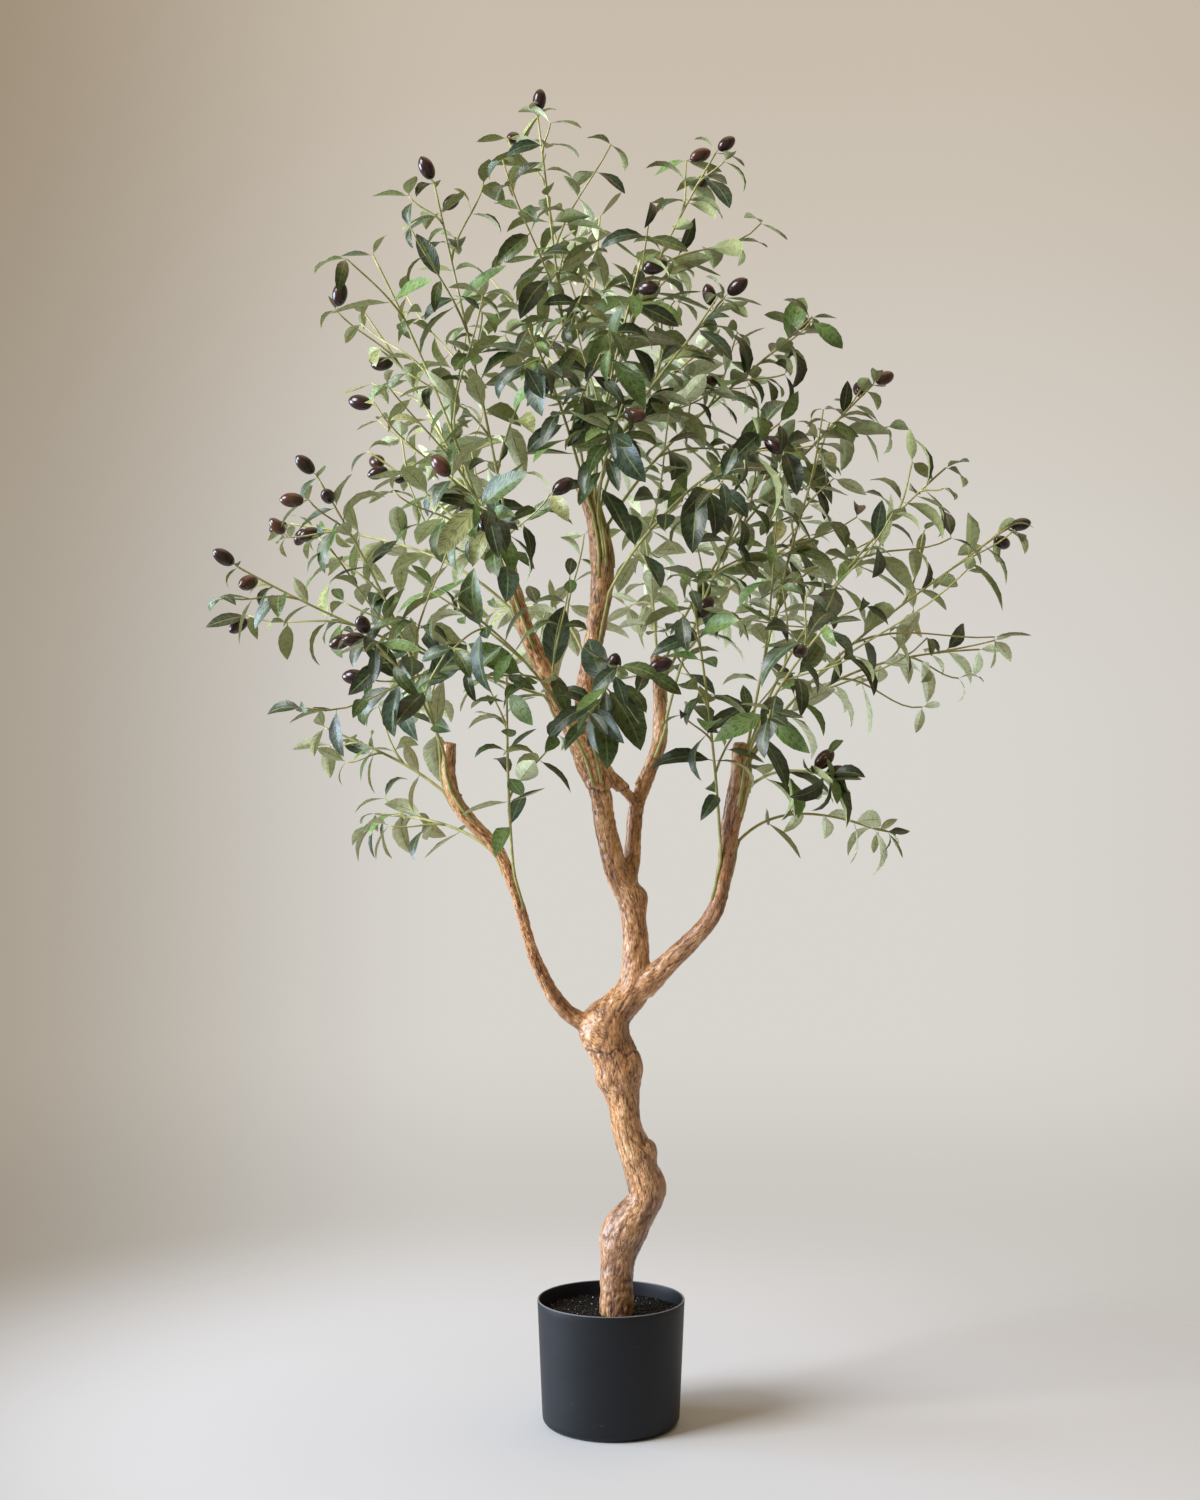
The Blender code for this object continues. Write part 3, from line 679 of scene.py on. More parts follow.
# %% Directions along a curve
def directions(path):
    """The direction of the path at each of its points."""
    ahead = [b - a for a, b in zip(path, path[1:])]
    middle = [(a + b).normalized() for a, b in zip(ahead, ahead[1:])]
    return [ahead[0].normalized(), *middle, ahead[-1].normalized()]


def across(direction, hint=Vector((0.31, 0.82, 0.48))):
    """A unit vector at right angles to the direction, as near to the hint as it can be."""
    side = hint - direction * hint.dot(direction)
    return side.normalized() if side.length > 1e-4 else direction.orthogonal().normalized()


def turned(vector, axis, angle):
    return Matrix.Rotation(angle, 3, axis) @ vector


def frames(path, first_way=None):
    """(way, side) at each point of the path: the side turns as little as it can along the path."""
    ways = directions(path)
    ways[0] = first_way or ways[0]
    sides = [across(ways[0])]
    for way in ways[1:]:
        sides.append(across(way, sides[-1]))
    return list(zip(ways, sides))


def along_path(path, share):
    """The point and the direction at this share of an evenly spaced path."""
    place = min(max(share, 0.0), 1.0) * (len(path) - 1)
    k = min(int(place), len(path) - 2)
    return path[k].lerp(path[k + 1], place - k), (path[k + 1] - path[k]).normalized()


def stepped(pairs, share):
    """The value at this share of a short table of (share, value), with straight lines between."""
    for (s0, v0), (s1, v1) in zip(pairs, pairs[1:]):
        if share <= s1:
            return v0 + (v1 - v0) * (share - s0) / (s1 - s0)
    return pairs[-1][1]


def level_way(heading):
    """The level direction at this heading in degrees: 0 is +X and 90 is +Y."""
    return Vector((math.cos(math.radians(heading)), math.sin(math.radians(heading)), 0))


def leaning(way, outward, lean):
    """The direction that leans out from the way by this angle."""
    return way * math.cos(lean) + outward * math.sin(lean)


# %% [markdown]
# ## Bark
# The trunk is cast from a real one: lumpy knots, flowing grooves and a skin of fine wrinkles, and
# the boughs run into it in soft webs. Sculpting would do it, but a seeded way can be repeated: a
# tube follows each limb, one Remesh modifier melts the tubes into a single skin, a Smooth modifier
# softens the joints, and noise that runs along each limb then moves the skin in and out.

# %% One tube for each limb
TUBE_SIDES = 28
TUBE_FINER = 4  # rings for each ring of the frame's limbs
FOOT_SINK = 0.006  # how far the trunk goes down into the grit
ROOT_SINK = 0.030  # how far a bough runs on into what it leaves
ROOT_DRAW = 0.7  # how far its root is drawn to the middle of the trunk, as a share
TIP_CAP = 0.3  # of its girth, that it runs on past its last bend
WEB_SHARE = 0.10  # of a bough, over which it widens into what it leaves
WEB_SWELL = 0.40
BLUNT_END = 0.6  # girth of a bough at its very root, as a share, so that no edge of it stands out
SMOOTHED_OFF = 0.0006  # what smoothing takes off the skin, given back beforehand


def trunk_radius(share, centre, outward):
    """The trunk's taper, with each knot swelling on its own side."""
    radius = TRUNK_FOOT_RADIUS + (TRUNK_FORK_RADIUS - TRUNK_FOOT_RADIUS) * share + SMOOTHED_OFF
    for height, half_height, swell, side in TRUNK_KNOTS:
        near = math.exp(-(((centre.z - height) / half_height) ** 2))
        radius += swell * near * (0.5 + 0.5 * outward.dot(level_way(side))) ** 1.5
    return radius


def bough_radius(girth):
    def radius_at(share, _centre, _outward):
        web = 1 + WEB_SWELL * math.exp(-((share / WEB_SHARE) ** 2))
        blunt = min(1.0, BLUNT_END + (1 - BLUNT_END) * share / (0.4 * WEB_SHARE))
        return stepped(girth, share) * web * blunt + SMOOTHED_OFF

    return radius_at


def tube_shape(path, radius_at, sides, first_way=None):
    """A tube along the path, closed at both ends. radius_at takes the share, centre and outward way."""
    corners = []
    for i, (centre, (way, side)) in enumerate(zip(path, frames(path, first_way))):
        for k in range(sides):
            outward = turned(side, way, 2 * math.pi * k / sides)
            corners.append(centre + outward * radius_at(i / (len(path) - 1), centre, outward))
    faces = [tuple(reversed(range(sides)))]
    for ring in range(len(path) - 1):
        low = ring * sides
        for k in range(sides):
            after = (k + 1) % sides
            faces.append((low + k, low + after, low + sides + after, low + sides + k))
    last = (len(path) - 1) * sides
    faces.append(tuple(range(last, last + sides)))
    return corners, faces


def hidden_root(point):
    """The point, drawn most of the way to the middle of the trunk."""
    nearest = min(limb_path("trunk"), key=lambda centre: (centre - point).length)
    return point.lerp(nearest, ROOT_DRAW)


limb_tubes = []
for name in LIMB_RINGS:
    path = limb_path(name, TUBE_FINER)
    if name == "trunk":
        path.insert(0, path[0] - UP * FOOT_SINK)
        shape = tube_shape(path, trunk_radius, TUBE_SIDES, UP)
    else:
        girth = BOUGHS[name][1]
        ways = directions(path)
        path.insert(0, hidden_root(path[0] - ways[0] * ROOT_SINK))
        path.append(path[-1] + ways[-1] * girth[-1][1] * TIP_CAP)
        shape = tube_shape(path, bough_radius(girth), TUBE_SIDES)
    limb_tubes.append(mesh_piece(name + "_tube", *shape))
print("limb tubes:", len(limb_tubes))

# %% Melt the tubes into one skin
SKIN_CELL = 0.0020
SMOOTH_TURNS = 6

select_only(*limb_tubes)
bpy.ops.object.join()
bark = named("bark")
remesh = bark.modifiers.new("melt", "REMESH")
remesh.mode = "VOXEL"
remesh.voxel_size = SKIN_CELL
smooth = bark.modifiers.new("soften", "SMOOTH")
smooth.iterations = SMOOTH_TURNS
smooth.factor = 0.5
apply_modifiers(bark)
bpy.ops.object.shade_smooth()
print("bark triangles:", triangles(bark))

# %% [markdown]
# ## The bark's relief
# Each point of the skin gets a place on its nearest limb: how far round and how far along. Noise
# read at that place, squeezed lengthwise, gives grooves that follow every bend. Where two limbs
# meet, both reliefs are mixed, so no seam shows. The same places are kept as an attribute, so that
# the finish can carry the grooves on into wrinkles finer than the mesh.

# %% Places along the limbs
GRAIN_SQUEEZE = 0.36  # lengthwise: a groove is about three times as long as it is wide
BLEND_WIDTH = 0.010
NEIGHBOURS = 14  # samples looked at, which reaches the next limb wherever two meet

samples = []
finder = KDTree(sum(rings * TUBE_FINER for rings in LIMB_RINGS.values()))
for index, name in enumerate(LIMB_RINGS):
    path = limb_path(name, TUBE_FINER)
    run = 0.0
    for k, (centre, (way, side)) in enumerate(zip(path, frames(path))):
        run += (centre - path[k - 1]).length if k else 0.0
        finder.insert(centre, len(samples))
        samples.append((index, centre, way, side, run))
finder.balance()
print("places along the limbs:", len(samples))


def grain_place(point, sample):
    """The point as (round x, round y, squeezed length) of the limb that this sample is on."""
    index, centre, way, side, run = sample
    offset = point - centre
    along = offset.dot(way)
    other = way.cross(side)
    return Vector((offset.dot(side), offset.dot(other), (run + along) * GRAIN_SQUEEZE + index * 3.7))


def nearest_limbs(point):
    """The nearest sample, the nearest one of another limb, and how much the first one counts."""
    near = [(samples[number], distance) for _co, number, distance in finder.find_n(point, NEIGHBOURS)]
    first, first_far = near[0]
    for second, second_far in near[1:]:
        if second[0] != first[0]:
            return first, second, min(1.0, 0.5 + 0.5 * (second_far - first_far) / BLEND_WIDTH)
    return first, first, 1.0


# %% Move the skin
LUMPS = (24.0, 0.0024)  # (noise scale, height in metres)
GROOVES = (62.0, 0.0027)
WRINKLES = (190.0, 0.0010)
WRINKLE_SQUEEZE = 2.0  # takes back most of the lengthwise stretch
GROOVE_EDGE = 0.7  # below 1, the grooves' ridges are rounder and their beds sharper
HOLLOWS = (0.45, -0.6, -0.3)  # how much groove, wrinkle and lump count towards the dark wash in the hollows, partly painted shade


def relief(place):
    """How far the skin stands out here, in metres, and how much dark wash and painted shade it gets,
    from -1 to 1.
    """
    lump = noise.noise(place * LUMPS[0])
    groove = 1 - 2 * abs(noise.noise(place * GROOVES[0] + Vector((5, 1, 8)))) ** GROOVE_EDGE
    short = Vector((place.x, place.y, place.z * WRINKLE_SQUEEZE))
    wrinkle = noise.noise(short * WRINKLES[0] + Vector((2, 9, 4)))
    moved = lump * LUMPS[1] - groove * GROOVES[1] * 0.5 + wrinkle * WRINKLES[1]
    return moved, HOLLOWS[0] * groove + HOLLOWS[1] * wrinkle + HOLLOWS[2] * lump


# The trunk has a crack where two casts were joined. Under the crown the upper cast is slipped over
# the trunk like a sleeve, and it tapers off higher up. Each joint is (height, leftmost x, how far
# the sleeve stands out, over what height)
JOINTS = ((0.508, -0.04, 0.0, 0.0), (0.863, -0.05, 0.0020, 0.06))
JOINT_REACH = 0.09
JOINT_WAVES = (60.0, 0.009)  # (noise scale, height in metres) of a joint's edge
JOINT_WIDTH = 0.0016
JOINT_DEPTH = 0.0016
JOINT_PAINT = 0.9  # how much a joint counts as hollow
SLEEVE_STEP = 0.002  # height over which the sleeve's edge rises


def joint_at(point):
    """How deep a joint's crack is here, from 0 to 1, and how far the sleeve over it stands out."""
    deep = out = 0.0
    for height, leftmost, step, taper in JOINTS:
        if leftmost < point.x < leftmost + JOINT_REACH:
            scale, waves = JOINT_WAVES
            edge = height + waves * noise.noise(Vector((point.x * scale, point.y * scale, 7)))
            above = point.z - edge
            deep = max(deep, math.exp(-((above / JOINT_WIDTH) ** 2)))
            if step and above > 0:
                out += step * min(1.0, above / SLEEVE_STEP) * max(0.0, 1 - above / taper)
    return deep, out


grain, wash_and_shade, shifts = [], [], []
for vert in bark.data.vertices:
    first, second, share = nearest_limbs(vert.co)
    place = grain_place(vert.co, first)
    moved, depth = relief(place)
    if share < 1:
        other_moved, other_depth = relief(grain_place(vert.co, second))
        moved = moved * share + other_moved * (1 - share)
        depth = depth * share + other_depth * (1 - share)
    crack, sleeve = joint_at(vert.co)
    grain.extend(place)
    wash_and_shade.append(depth + JOINT_PAINT * crack)
    shifts.append(vert.normal * (moved + sleeve - JOINT_DEPTH * crack))
for vert, shift in zip(bark.data.vertices, shifts):
    vert.co += shift
bark.data.attributes.new("grain", "FLOAT_VECTOR", "POINT").data.foreach_set("vector", grain)
bark.data.attributes.new("wash_and_shade", "FLOAT", "POINT").data.foreach_set("value", wash_and_shade)
print("relief on", len(shifts), "points")


# %% Bark finish
CRACK_WIDTHS = (0.006, 0.034)  # in steps of the noise: quite dark at the first, and gone at the second
FOOT_SHADE_HEIGHTS = (0.24, 0.58)  # heights over which the painted shade at the trunk's foot fades out
FOOT_SHADE = 0.72  # brightness of the trunk below them, as a share: painted shade


def fine_cracks(paint, grain, scale, offset, stretch):
    """Thin winding lines, from 1 in a line to 0 beside it: where noise crosses its middle."""
    place = paint.add("VectorMath", {0: grain, 1: offset}, operation="ADD").outputs["Vector"]
    wave = paint.noise(place, scale, 3.0, 0.55, stretch=(1.0, 1.0, stretch))
    aside = paint.sums("ABSOLUTE", paint.sums("SUBTRACT", wave, 0.5))
    return paint.between(aside, *CRACK_WIDTHS, to=(1.0, 0.0), soft=True)


def bark_finish():
    """Painted resin bark: tan, with dark paint left in the cracks, a dark wash with painted shade in the
    hollows, painted shade towards the foot and a coat of soft varnish.
    """
    paint = Finish("bark")
    grain = paint.add("Attribute", attribute_name="grain").outputs["Vector"]
    wash_and_shade = paint.add("Attribute", attribute_name="wash_and_shade").outputs["Fac"]
    long_cracks = fine_cracks(paint, grain, 130.0, (0.0, 0.0, 0.0), 0.45)
    short_cracks = fine_cracks(paint, grain, 290.0, (3.0, 1.0, 2.0), 0.6)
    speckle = paint.noise(grain, 480.0, 3.0, 0.66, stretch=(1.0, 1.0, 0.8))
    patch = paint.noise(grain, 34.0, 3.0, 0.60, stretch=(1.0, 1.0, 0.55))
    cracks = paint.sums("MAXIMUM", long_cracks, paint.times(short_cracks, 0.55))
    # the hollows' share of the dark is partly a dark wash and partly painted shade
    deep = paint.sums("ADD", paint.times(wash_and_shade, 0.28), paint.times(speckle, 0.86))
    dark = paint.sums("ADD", paint.times(cracks, 0.31), deep)
    skin = paint.ramp(
        dark, (0.27, (0.970, 0.700, 0.420)), (0.44, (0.790, 0.424, 0.178)),
        (0.62, (0.540, 0.256, 0.098)), (0.86, (0.100, 0.040, 0.017)),
    )
    patches = paint.ramp(
        patch, (0.33, (0.55, 0.47, 0.43)), (0.49, (0.96, 0.94, 0.93)), (0.66, (1.18, 1.18, 1.18))
    )
    # painted shade: the lower trunk is darker, where the light falls off
    painted_foot_shade = paint.between(paint.part(paint.place(), "Z"), *FOOT_SHADE_HEIGHTS, to=(FOOT_SHADE, 1.0))
    colour = paint.multiplied(skin, patches, painted_foot_shade)
    rough = paint.spread(dark, 0.38, 0.62)
    bump = paint.bump(paint.times(dark, -1.0), 0.0022, 0.9)
    return paint.finished(
        Base_Color=colour, Roughness=rough, Normal=bump, Coat_Weight=0.8, Coat_Roughness=0.34
    )


bark.data.materials.append(bark_finish())
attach(bark, "root")
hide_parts(*LIMB_RINGS)

# %% [markdown]
# ## Sprays: where they grow
# A spray is one wired stem with side twigs, wired on so that it reaches a place of its own in the
# crown. The frame's sprays follow a rule: each stem leaves its limb at a share along it, and rises,
# bows and ends at its reach. The same rule is written here again, and finer twigs are added. It
# would be quicker to scatter sprays at random, but then the crown would lose its outline.

# %% The sprays
# By the limb that carries them: the share along that limb, the heading and rise of the tip in
# degrees, the reach from limb to tip, and the bow: how far the stem rises first and then leans out.
# tint is how pale the leaves are, from 0 to 3, full is how thickly the spray is set with leaf
# pairs, and wire is how far its taped end runs down the limb. olives are the shares of the stem
# where an olive hangs. Each spray's seed is its place in this table
Spray = namedtuple("Spray", "limb along heading rise reach bow tint full wire olives")
SPRAY_TABLE = (
    ("bough_left", {
        "left_climber": (0.98, -165, 64, 0.40, 0.35, 1, 0.9, 0.08, (0.90, 1.0)),
        "left_front": (0.96, -111, 33, 0.28, 0.35, 1, 0.55, 0.10, (0.95, 1.0)),
        "left_out": (0.86, 169, 26, 0.20, 0.10, 2, 0.48, 0.03, ()),
        "left_low": (0.68, 152, 11, 0.19, 0.25, 2, 0.32, 0.05, ()),
        "left_inner": (0.58, -89, 69, 0.28, 0.35, 2, 1.2, 0.06, ()),
        "left_back": (0.93, 112, 31, 0.31, 0.35, 3, 0.4, 0.04, ()),
    }),
    ("bough_upper_left", {
        "arm_left": (0.30, -164, 21, 0.46, -0.30, 1, 0.85, 0.05, (0.93, 1.0)),
        "shoulder_left": (0.96, 170, 42, 0.27, 0.35, 2, 0.5, 0.03, (0.84, 0.90)),
        "upper_left_low": (0.80, 155, 20, 0.39, 0.35, 2, 1.1, 0.05, (0.86, 0.93, 1.0)),
        "upper_left_out": (0.92, 159, 60, 0.45, 0.40, 3, 0.38, 0.07, (0.8,)),
        "upper_left_high": (0.91, -160, 66, 0.48, 0.35, 2, 0.5, 0.05, ()),
        "upper_left_crown": (0.94, -175, 79, 0.55, 0.25, 1, 1.05, 0.04, (0.93, 1.0)),
        "upper_left_front": (0.88, -97, 18, 0.31, 0.35, 1, 1.3, 0.08, (0.75, 0.82)),
        "upper_left_back": (0.84, 113, 39, 0.48, 0.35, 3, 0.52, 0.04, ()),
    }),
    ("bough_upper_right", {
        "crown_top": (0.98, -172, 83, 0.51, 0.15, 1, 1.2, 0.03, (1.0,)),
        "crown_right": (0.95, 9, 69, 0.51, 0.65, 0, 1.0, 0.05, (0.90, 1.0)),
        "crown_front": (0.90, -72, 54, 0.36, 0.35, 0, 0.9, 0.10, (0.88, 0.95)),
        "crown_inner": (0.92, -13, 55, 0.33, 0.35, 1, 1.0, 0.05, (0.93, 1.0)),
        "crown_out": (0.80, 10, 45, 0.43, 0.10, 0, 1.65, 0.06, (0.95,)),
        "crown_back": (0.96, 85, 61, 0.50, 0.35, 3, 0.8, 0.03, ()),
        "crown_back_right": (0.86, 61, 39, 0.47, 0.50, 2, 0.95, 0.04, ()),
        "crown_left_front": (0.93, -106, 35, 0.32, 0.35, 0, 1.55, 0.12, (0.7,)),
        "crown_middle": (0.84, -80, 32, 0.24, 0.35, 0, 1.35, 0.06, (0.9,)),
        "middle_right_front": (0.55, -48, 31, 0.39, 0.35, 0, 1.1, 0.08, (0.92,)),
    }),
    ("bough_centre", {
        "centre_out": (0.97, 10, 52, 0.51, 0.35, 0, 1.1, 0.06, (0.95, 1.0)),
        "centre_back": (0.94, 93, 38, 0.41, 0.50, 3, 0.85, 0.04, ()),
        "centre_back_right": (0.90, 51, 32, 0.44, 0.35, 2, 0.56, 0.04, ()),
        "centre_inner": (0.72, -38, 64, 0.33, 0.35, 1, 0.9, 0.06, ()),
    }),
    ("bough_upper_right", {
        "back_left": (0.30, 111, 16, 0.36, 0.50, 3, 1.0, 0.04, ()),
    }),
    ("trunk", {
        "fork_front": (0.97, -82, 22, 0.28, 0.30, 0, 1.2, 0.05, (0.75,)),
        "fork_left_front": (0.95, -119, 30, 0.40, 0.35, 1, 0.6, 0.04, ()),
    }),
    ("bough_right", {
        "right_climber": (0.98, -8, 54, 0.46, 0.60, 0, 0.85, 0.07, ()),
        "right_out": (0.95, 11, 40, 0.49, 0.15, 0, 0.32, 0.06, (0.95, 1.0)),
        "right_back": (0.93, 33, 21, 0.46, 0.60, 3, 0.4, 0.05, ()),
        "right_high": (0.94, 40, 70, 0.50, 0.35, 2, 0.9, 0.04, ()),
        "right_front": (0.90, -70, 35, 0.32, 0.35, 0, 0.54, 0.05, (0.8,)),
        "right_inner": (0.60, -111, 67, 0.38, 0.35, 0, 0.8, 0.07, (0.80, 0.88)),
        "right_low": (0.66, 25, 2, 0.25, 0.60, 2, 0.52, 0.05, ()),
        "right_droop": (0.85, -45, 7, 0.16, 0.35, 0, 0.95, 0.04, (0.8, 0.9)),
    }),
)
SPRAYS = {name: Spray(limb, *row) for limb, rows in SPRAY_TABLE for name, row in rows.items()}
FIRST_SEED = 4100
print("sprays:", len(SPRAYS))

# %% Stems: the rule of the frame's sprays
STEM_RADIUS = 0.0023
FOOT_LIFT = 1.6  # radii, from the bark to the middle of a stem's foot
STEM_PULL = 0.34  # of its reach: how far each end of a stem keeps its direction
RAY_START = 3 * TRUNK_FOOT_RADIUS  # outside every limb


def aim_of(spray):
    """The direction from a spray's place on its limb to its tip."""
    return leaning(level_way(spray.heading), UP, math.radians(spray.rise))


def tree_of(thing):
    faces = [tuple(face.vertices) for face in thing.data.polygons]
    return BVHTree.FromPolygons([vert.co.copy() for vert in thing.data.vertices], faces)


def bowed(start, early, late, end):
    """Points on the curve that leaves its start along early and reaches its end along late."""
    curve = interpolate_bezier(start, start + early, end - late, end, 2 * CURVE_STEPS)
    return [Vector(p) for p in curve]


def on_skin(skin, start, way, aim, height):
    """The point at this height above the skin, on the side of the limb that the spray leaves."""
    outward = (across(way, aim) * 0.5 + aim).normalized()
    hit, normal, _face, _far = skin.ray_cast(start + outward * RAY_START, -outward)
    return hit + normal * height


def stem_curve(skin, path, spray):
    """A stem's taped run below its foot, and its centre line from its foot on the limb to its tip."""
    start, way = along_path(path, spray.along)
    aim = aim_of(spray)
    foot = on_skin(skin, start, way, aim, STEM_RADIUS * FOOT_LIFT)
    tip = start + aim * spray.reach
    early = (aim + UP * spray.bow + way * 0.3).normalized()
    late = (aim - UP * spray.bow * 0.5).normalized()
    pull = spray.reach * STEM_PULL
    length = length_of(path)
    run = []
    for part in (1.0, 0.75, 0.5, 0.25):
        at, way = along_path(path, spray.along - part * spray.wire / length)
        run.append(on_skin(skin, at, way, aim, STEM_RADIUS * (0.2 + 0.5 * (1 - part))))
    return run, bowed(foot, early * pull, late * pull, tip)


bark_tree = tree_of(bark)
limb_paths = {name: limb_path(name) for name in LIMB_RINGS}
stems = {name: stem_curve(bark_tree, limb_paths[s.limb], s) for name, s in SPRAYS.items()}
print("stems:", len(stems))

# %% Side twigs: the frame's rule, with now and then a finer one between two
TWIG_RADIUS = 0.0016
TWIG_STEPS = 9
RULE_RINGS = 6  # of the frame's stems, which its rule counts in
BARE_SHARE = 0.16  # of a stem, from its foot, with no twigs
LAST_SHARE = 0.90
TWIG_SPACING = 0.125  # along a stem
TWIG_LEANS = (38, 48)  # degrees between a twig and its stem, at least and at most, by the rule
LEAN_KEPT = 0.8  # of the rule's lean
TWIG_LENGTH = (0.64, 0.12)  # as a share of the stem's reach, for a twig at its foot and at its tip
FINE_TWIG_CHANCE = 0.4
FINE_TWIG_STEP = 0.37  # of the way to the next twig
FINE_TWIG = 0.42  # length of a finer twig, as a share of its neighbour's
TWIG_SAG = 0.07
TWIG_PULL = 0.35  # of its length: how far each end keeps its direction


def through_face(path, share, number):
    """The root, way and outward way of what grows through this face of a three-sided twig."""
    ways = frames(path)
    k = min(int(share * (len(path) - 1)), len(path) - 2)
    root, way = along_path(path, share)
    side = across(way, ways[k][1])
    return root, way, turned(side, way, math.radians(60 + 120 * number))


def bent_twig(origin, way, out, length, chance):
    """A twig that leaves along its stem, swings out, and droops or lifts a little at its tip."""
    tip = origin + out * length - UP * length * TWIG_SAG * chance.uniform(0.0, 1.6)
    early = (out * 0.6 + way * 0.5).normalized() * length * TWIG_PULL
    late = (out + (UP * 0.5 + way * 0.3) * chance.uniform(-0.3, 1.0)).normalized() * length * TWIG_PULL
    return evenly(bowed(origin, early, late, tip), TWIG_STEPS)


def side_twigs(stem, reach, rule, chance):
    """The side twigs of a stem. rule deals what the frame's rule draws, and chance all the rest."""
    coarse = evenly(stem, RULE_RINGS)
    count = max(2, round(reach / TWIG_SPACING))
    turn = rule.randrange(3)
    at_foot, at_tip = TWIG_LENGTH
    twigs = []
    for k in range(count):
        share = BARE_SHARE + (LAST_SHARE - BARE_SHARE) * (k + 0.5) / count
        origin, way, outward = through_face(coarse, share, turn + k)
        lean = math.radians(rule.uniform(*TWIG_LEANS)) * LEAN_KEPT
        out = leaning(way, outward, lean)
        length = reach * (at_foot + (at_tip - at_foot) * share) * rule.uniform(0.85, 1.15)
        origin, way = along_path(stem, share)
        twigs.append(bent_twig(origin, way, out, length, chance))
        if chance.random() < FINE_TWIG_CHANCE:
            origin, way = along_path(stem, share + FINE_TWIG_STEP / count)
            out = leaning(way, -outward, lean)
            length *= FINE_TWIG * chance.uniform(0.8, 1.3)
            twigs.append(bent_twig(origin, way, out, length, chance))
    return twigs


twigs = {}
for number, (name, spray) in enumerate(SPRAYS.items()):
    rule, chance = random.Random(FIRST_SEED + number), random.Random(2 * FIRST_SEED + number)
    twigs[name] = side_twigs(stems[name][1], spray.reach, rule, chance)
print("twigs:", sum(len(t) for t in twigs.values()))

# %% [markdown]
# ## Leaves
# A cloth leaf is punched from printed fabric, pressed over a wire and a little curled. Each one here
# is a lens of two thin sheets that meet at the edge, narrow at the stalk, widest in the middle and
# pointed, with a raised midrib of its own. A grid is shaped row by row into one flat leaf. Bent,
# cupped and twisted copies of it are the patterns that all the leaves are then copied from.

# %% A flat leaf
# (share of the length, share of the greatest width)
LEAF_ROWS = (
    (0.0, 0.05), (0.09, 0.07), (0.22, 0.58), (0.39, 0.94),
    (0.56, 1.0), (0.75, 0.79), (0.90, 0.39), (1.0, 0.0),
)
LEAF_WIDTH = 0.39  # of its length
LEAF_COLUMNS = (-1.0, -0.55, -0.055, 0.055, 0.55, 1.0)
LEAF_THICKNESS = 0.008  # of its length
RIB_LIFTS = (0.0036, -0.006)  # of its length, above and below
RIB_EDGE = 0.0125  # from the middle line, and within it only the midrib lies

select_only()
columns, rows = len(LEAF_COLUMNS), len(LEAF_ROWS)
bpy.ops.mesh.primitive_grid_add(x_subdivisions=columns - 1, y_subdivisions=rows - 1, size=2)
flat_leaf = named("flat_leaf")
for number, vert in enumerate(flat_leaf.data.vertices):
    row, column = divmod(number, columns)
    where, width = LEAF_ROWS[row]
    vert.co = (where, LEAF_COLUMNS[column] * width * LEAF_WIDTH / 2, 0)
upper_count = len(flat_leaf.data.vertices)
edit_all()
bpy.ops.mesh.duplicate()
bpy.ops.mesh.flip_normals()
leave_edit()
for number, vert in enumerate(flat_leaf.data.vertices):
    row, column = divmod(number % upper_count, columns)
    is_under = number >= upper_count
    inner = 0 < column < columns - 1 and 0 < row < rows - 1
    is_rib = column in (2, 3) and inner
    vert.co.z = LEAF_THICKNESS / 2 * inner * (-1 if is_under else 1)
    vert.co.z += RIB_LIFTS[is_under] * is_rib
outward_faces(flat_leaf)
leaf_normals = [face.normal.copy() for face in flat_leaf.data.polygons]
leaf_corners, leaf_faces = taken_apart(flat_leaf)
print("faces of a leaf:", len(leaf_faces))

# %% Parts of the leaf: 0 upper side, 1 underside, 2 midrib above, 3 midrib below
leaf_parts = []
for face, normal in zip(leaf_faces, leaf_normals):
    on_rib = abs(leaf_corners[list(face), 1]).max() < RIB_EDGE
    leaf_parts.append((2 if on_rib else 0) + (normal.z <= 0))
leaf_uv = np.column_stack([leaf_corners[:, 0], leaf_corners[:, 1]])
print("faces of each part of a leaf:", [leaf_parts.count(part) for part in range(4)])


# %% Curled patterns of the leaf
LEAF_WAVE = 0.030  # height of the waves of its edge, as a share of its length
LEAF_BEND = 1.5  # above 1, a leaf bends most near its tip
# (bend over the length, cup across, twist over the length, all in degrees, the edge's waves, width)
CURLS = (
    (22, 16, 6, 0.2, 1.0), (38, 22, -14, 0.5, 0.92), (54, 28, 10, 0.3, 1.06), (68, 20, -22, 0.6, 0.86),
    (84, 32, 16, 0.4, 0.72), (30, 38, 26, 0.8, 0.80), (-14, 24, -10, 0.4, 0.90), (48, 14, 34, 0.5, 1.0),
    (104, 26, -28, 0.3, 0.62), (62, 42, 8, 0.9, 0.95), (12, 30, 18, 0.6, 0.84), (76, 18, -36, 0.7, 0.76),
)


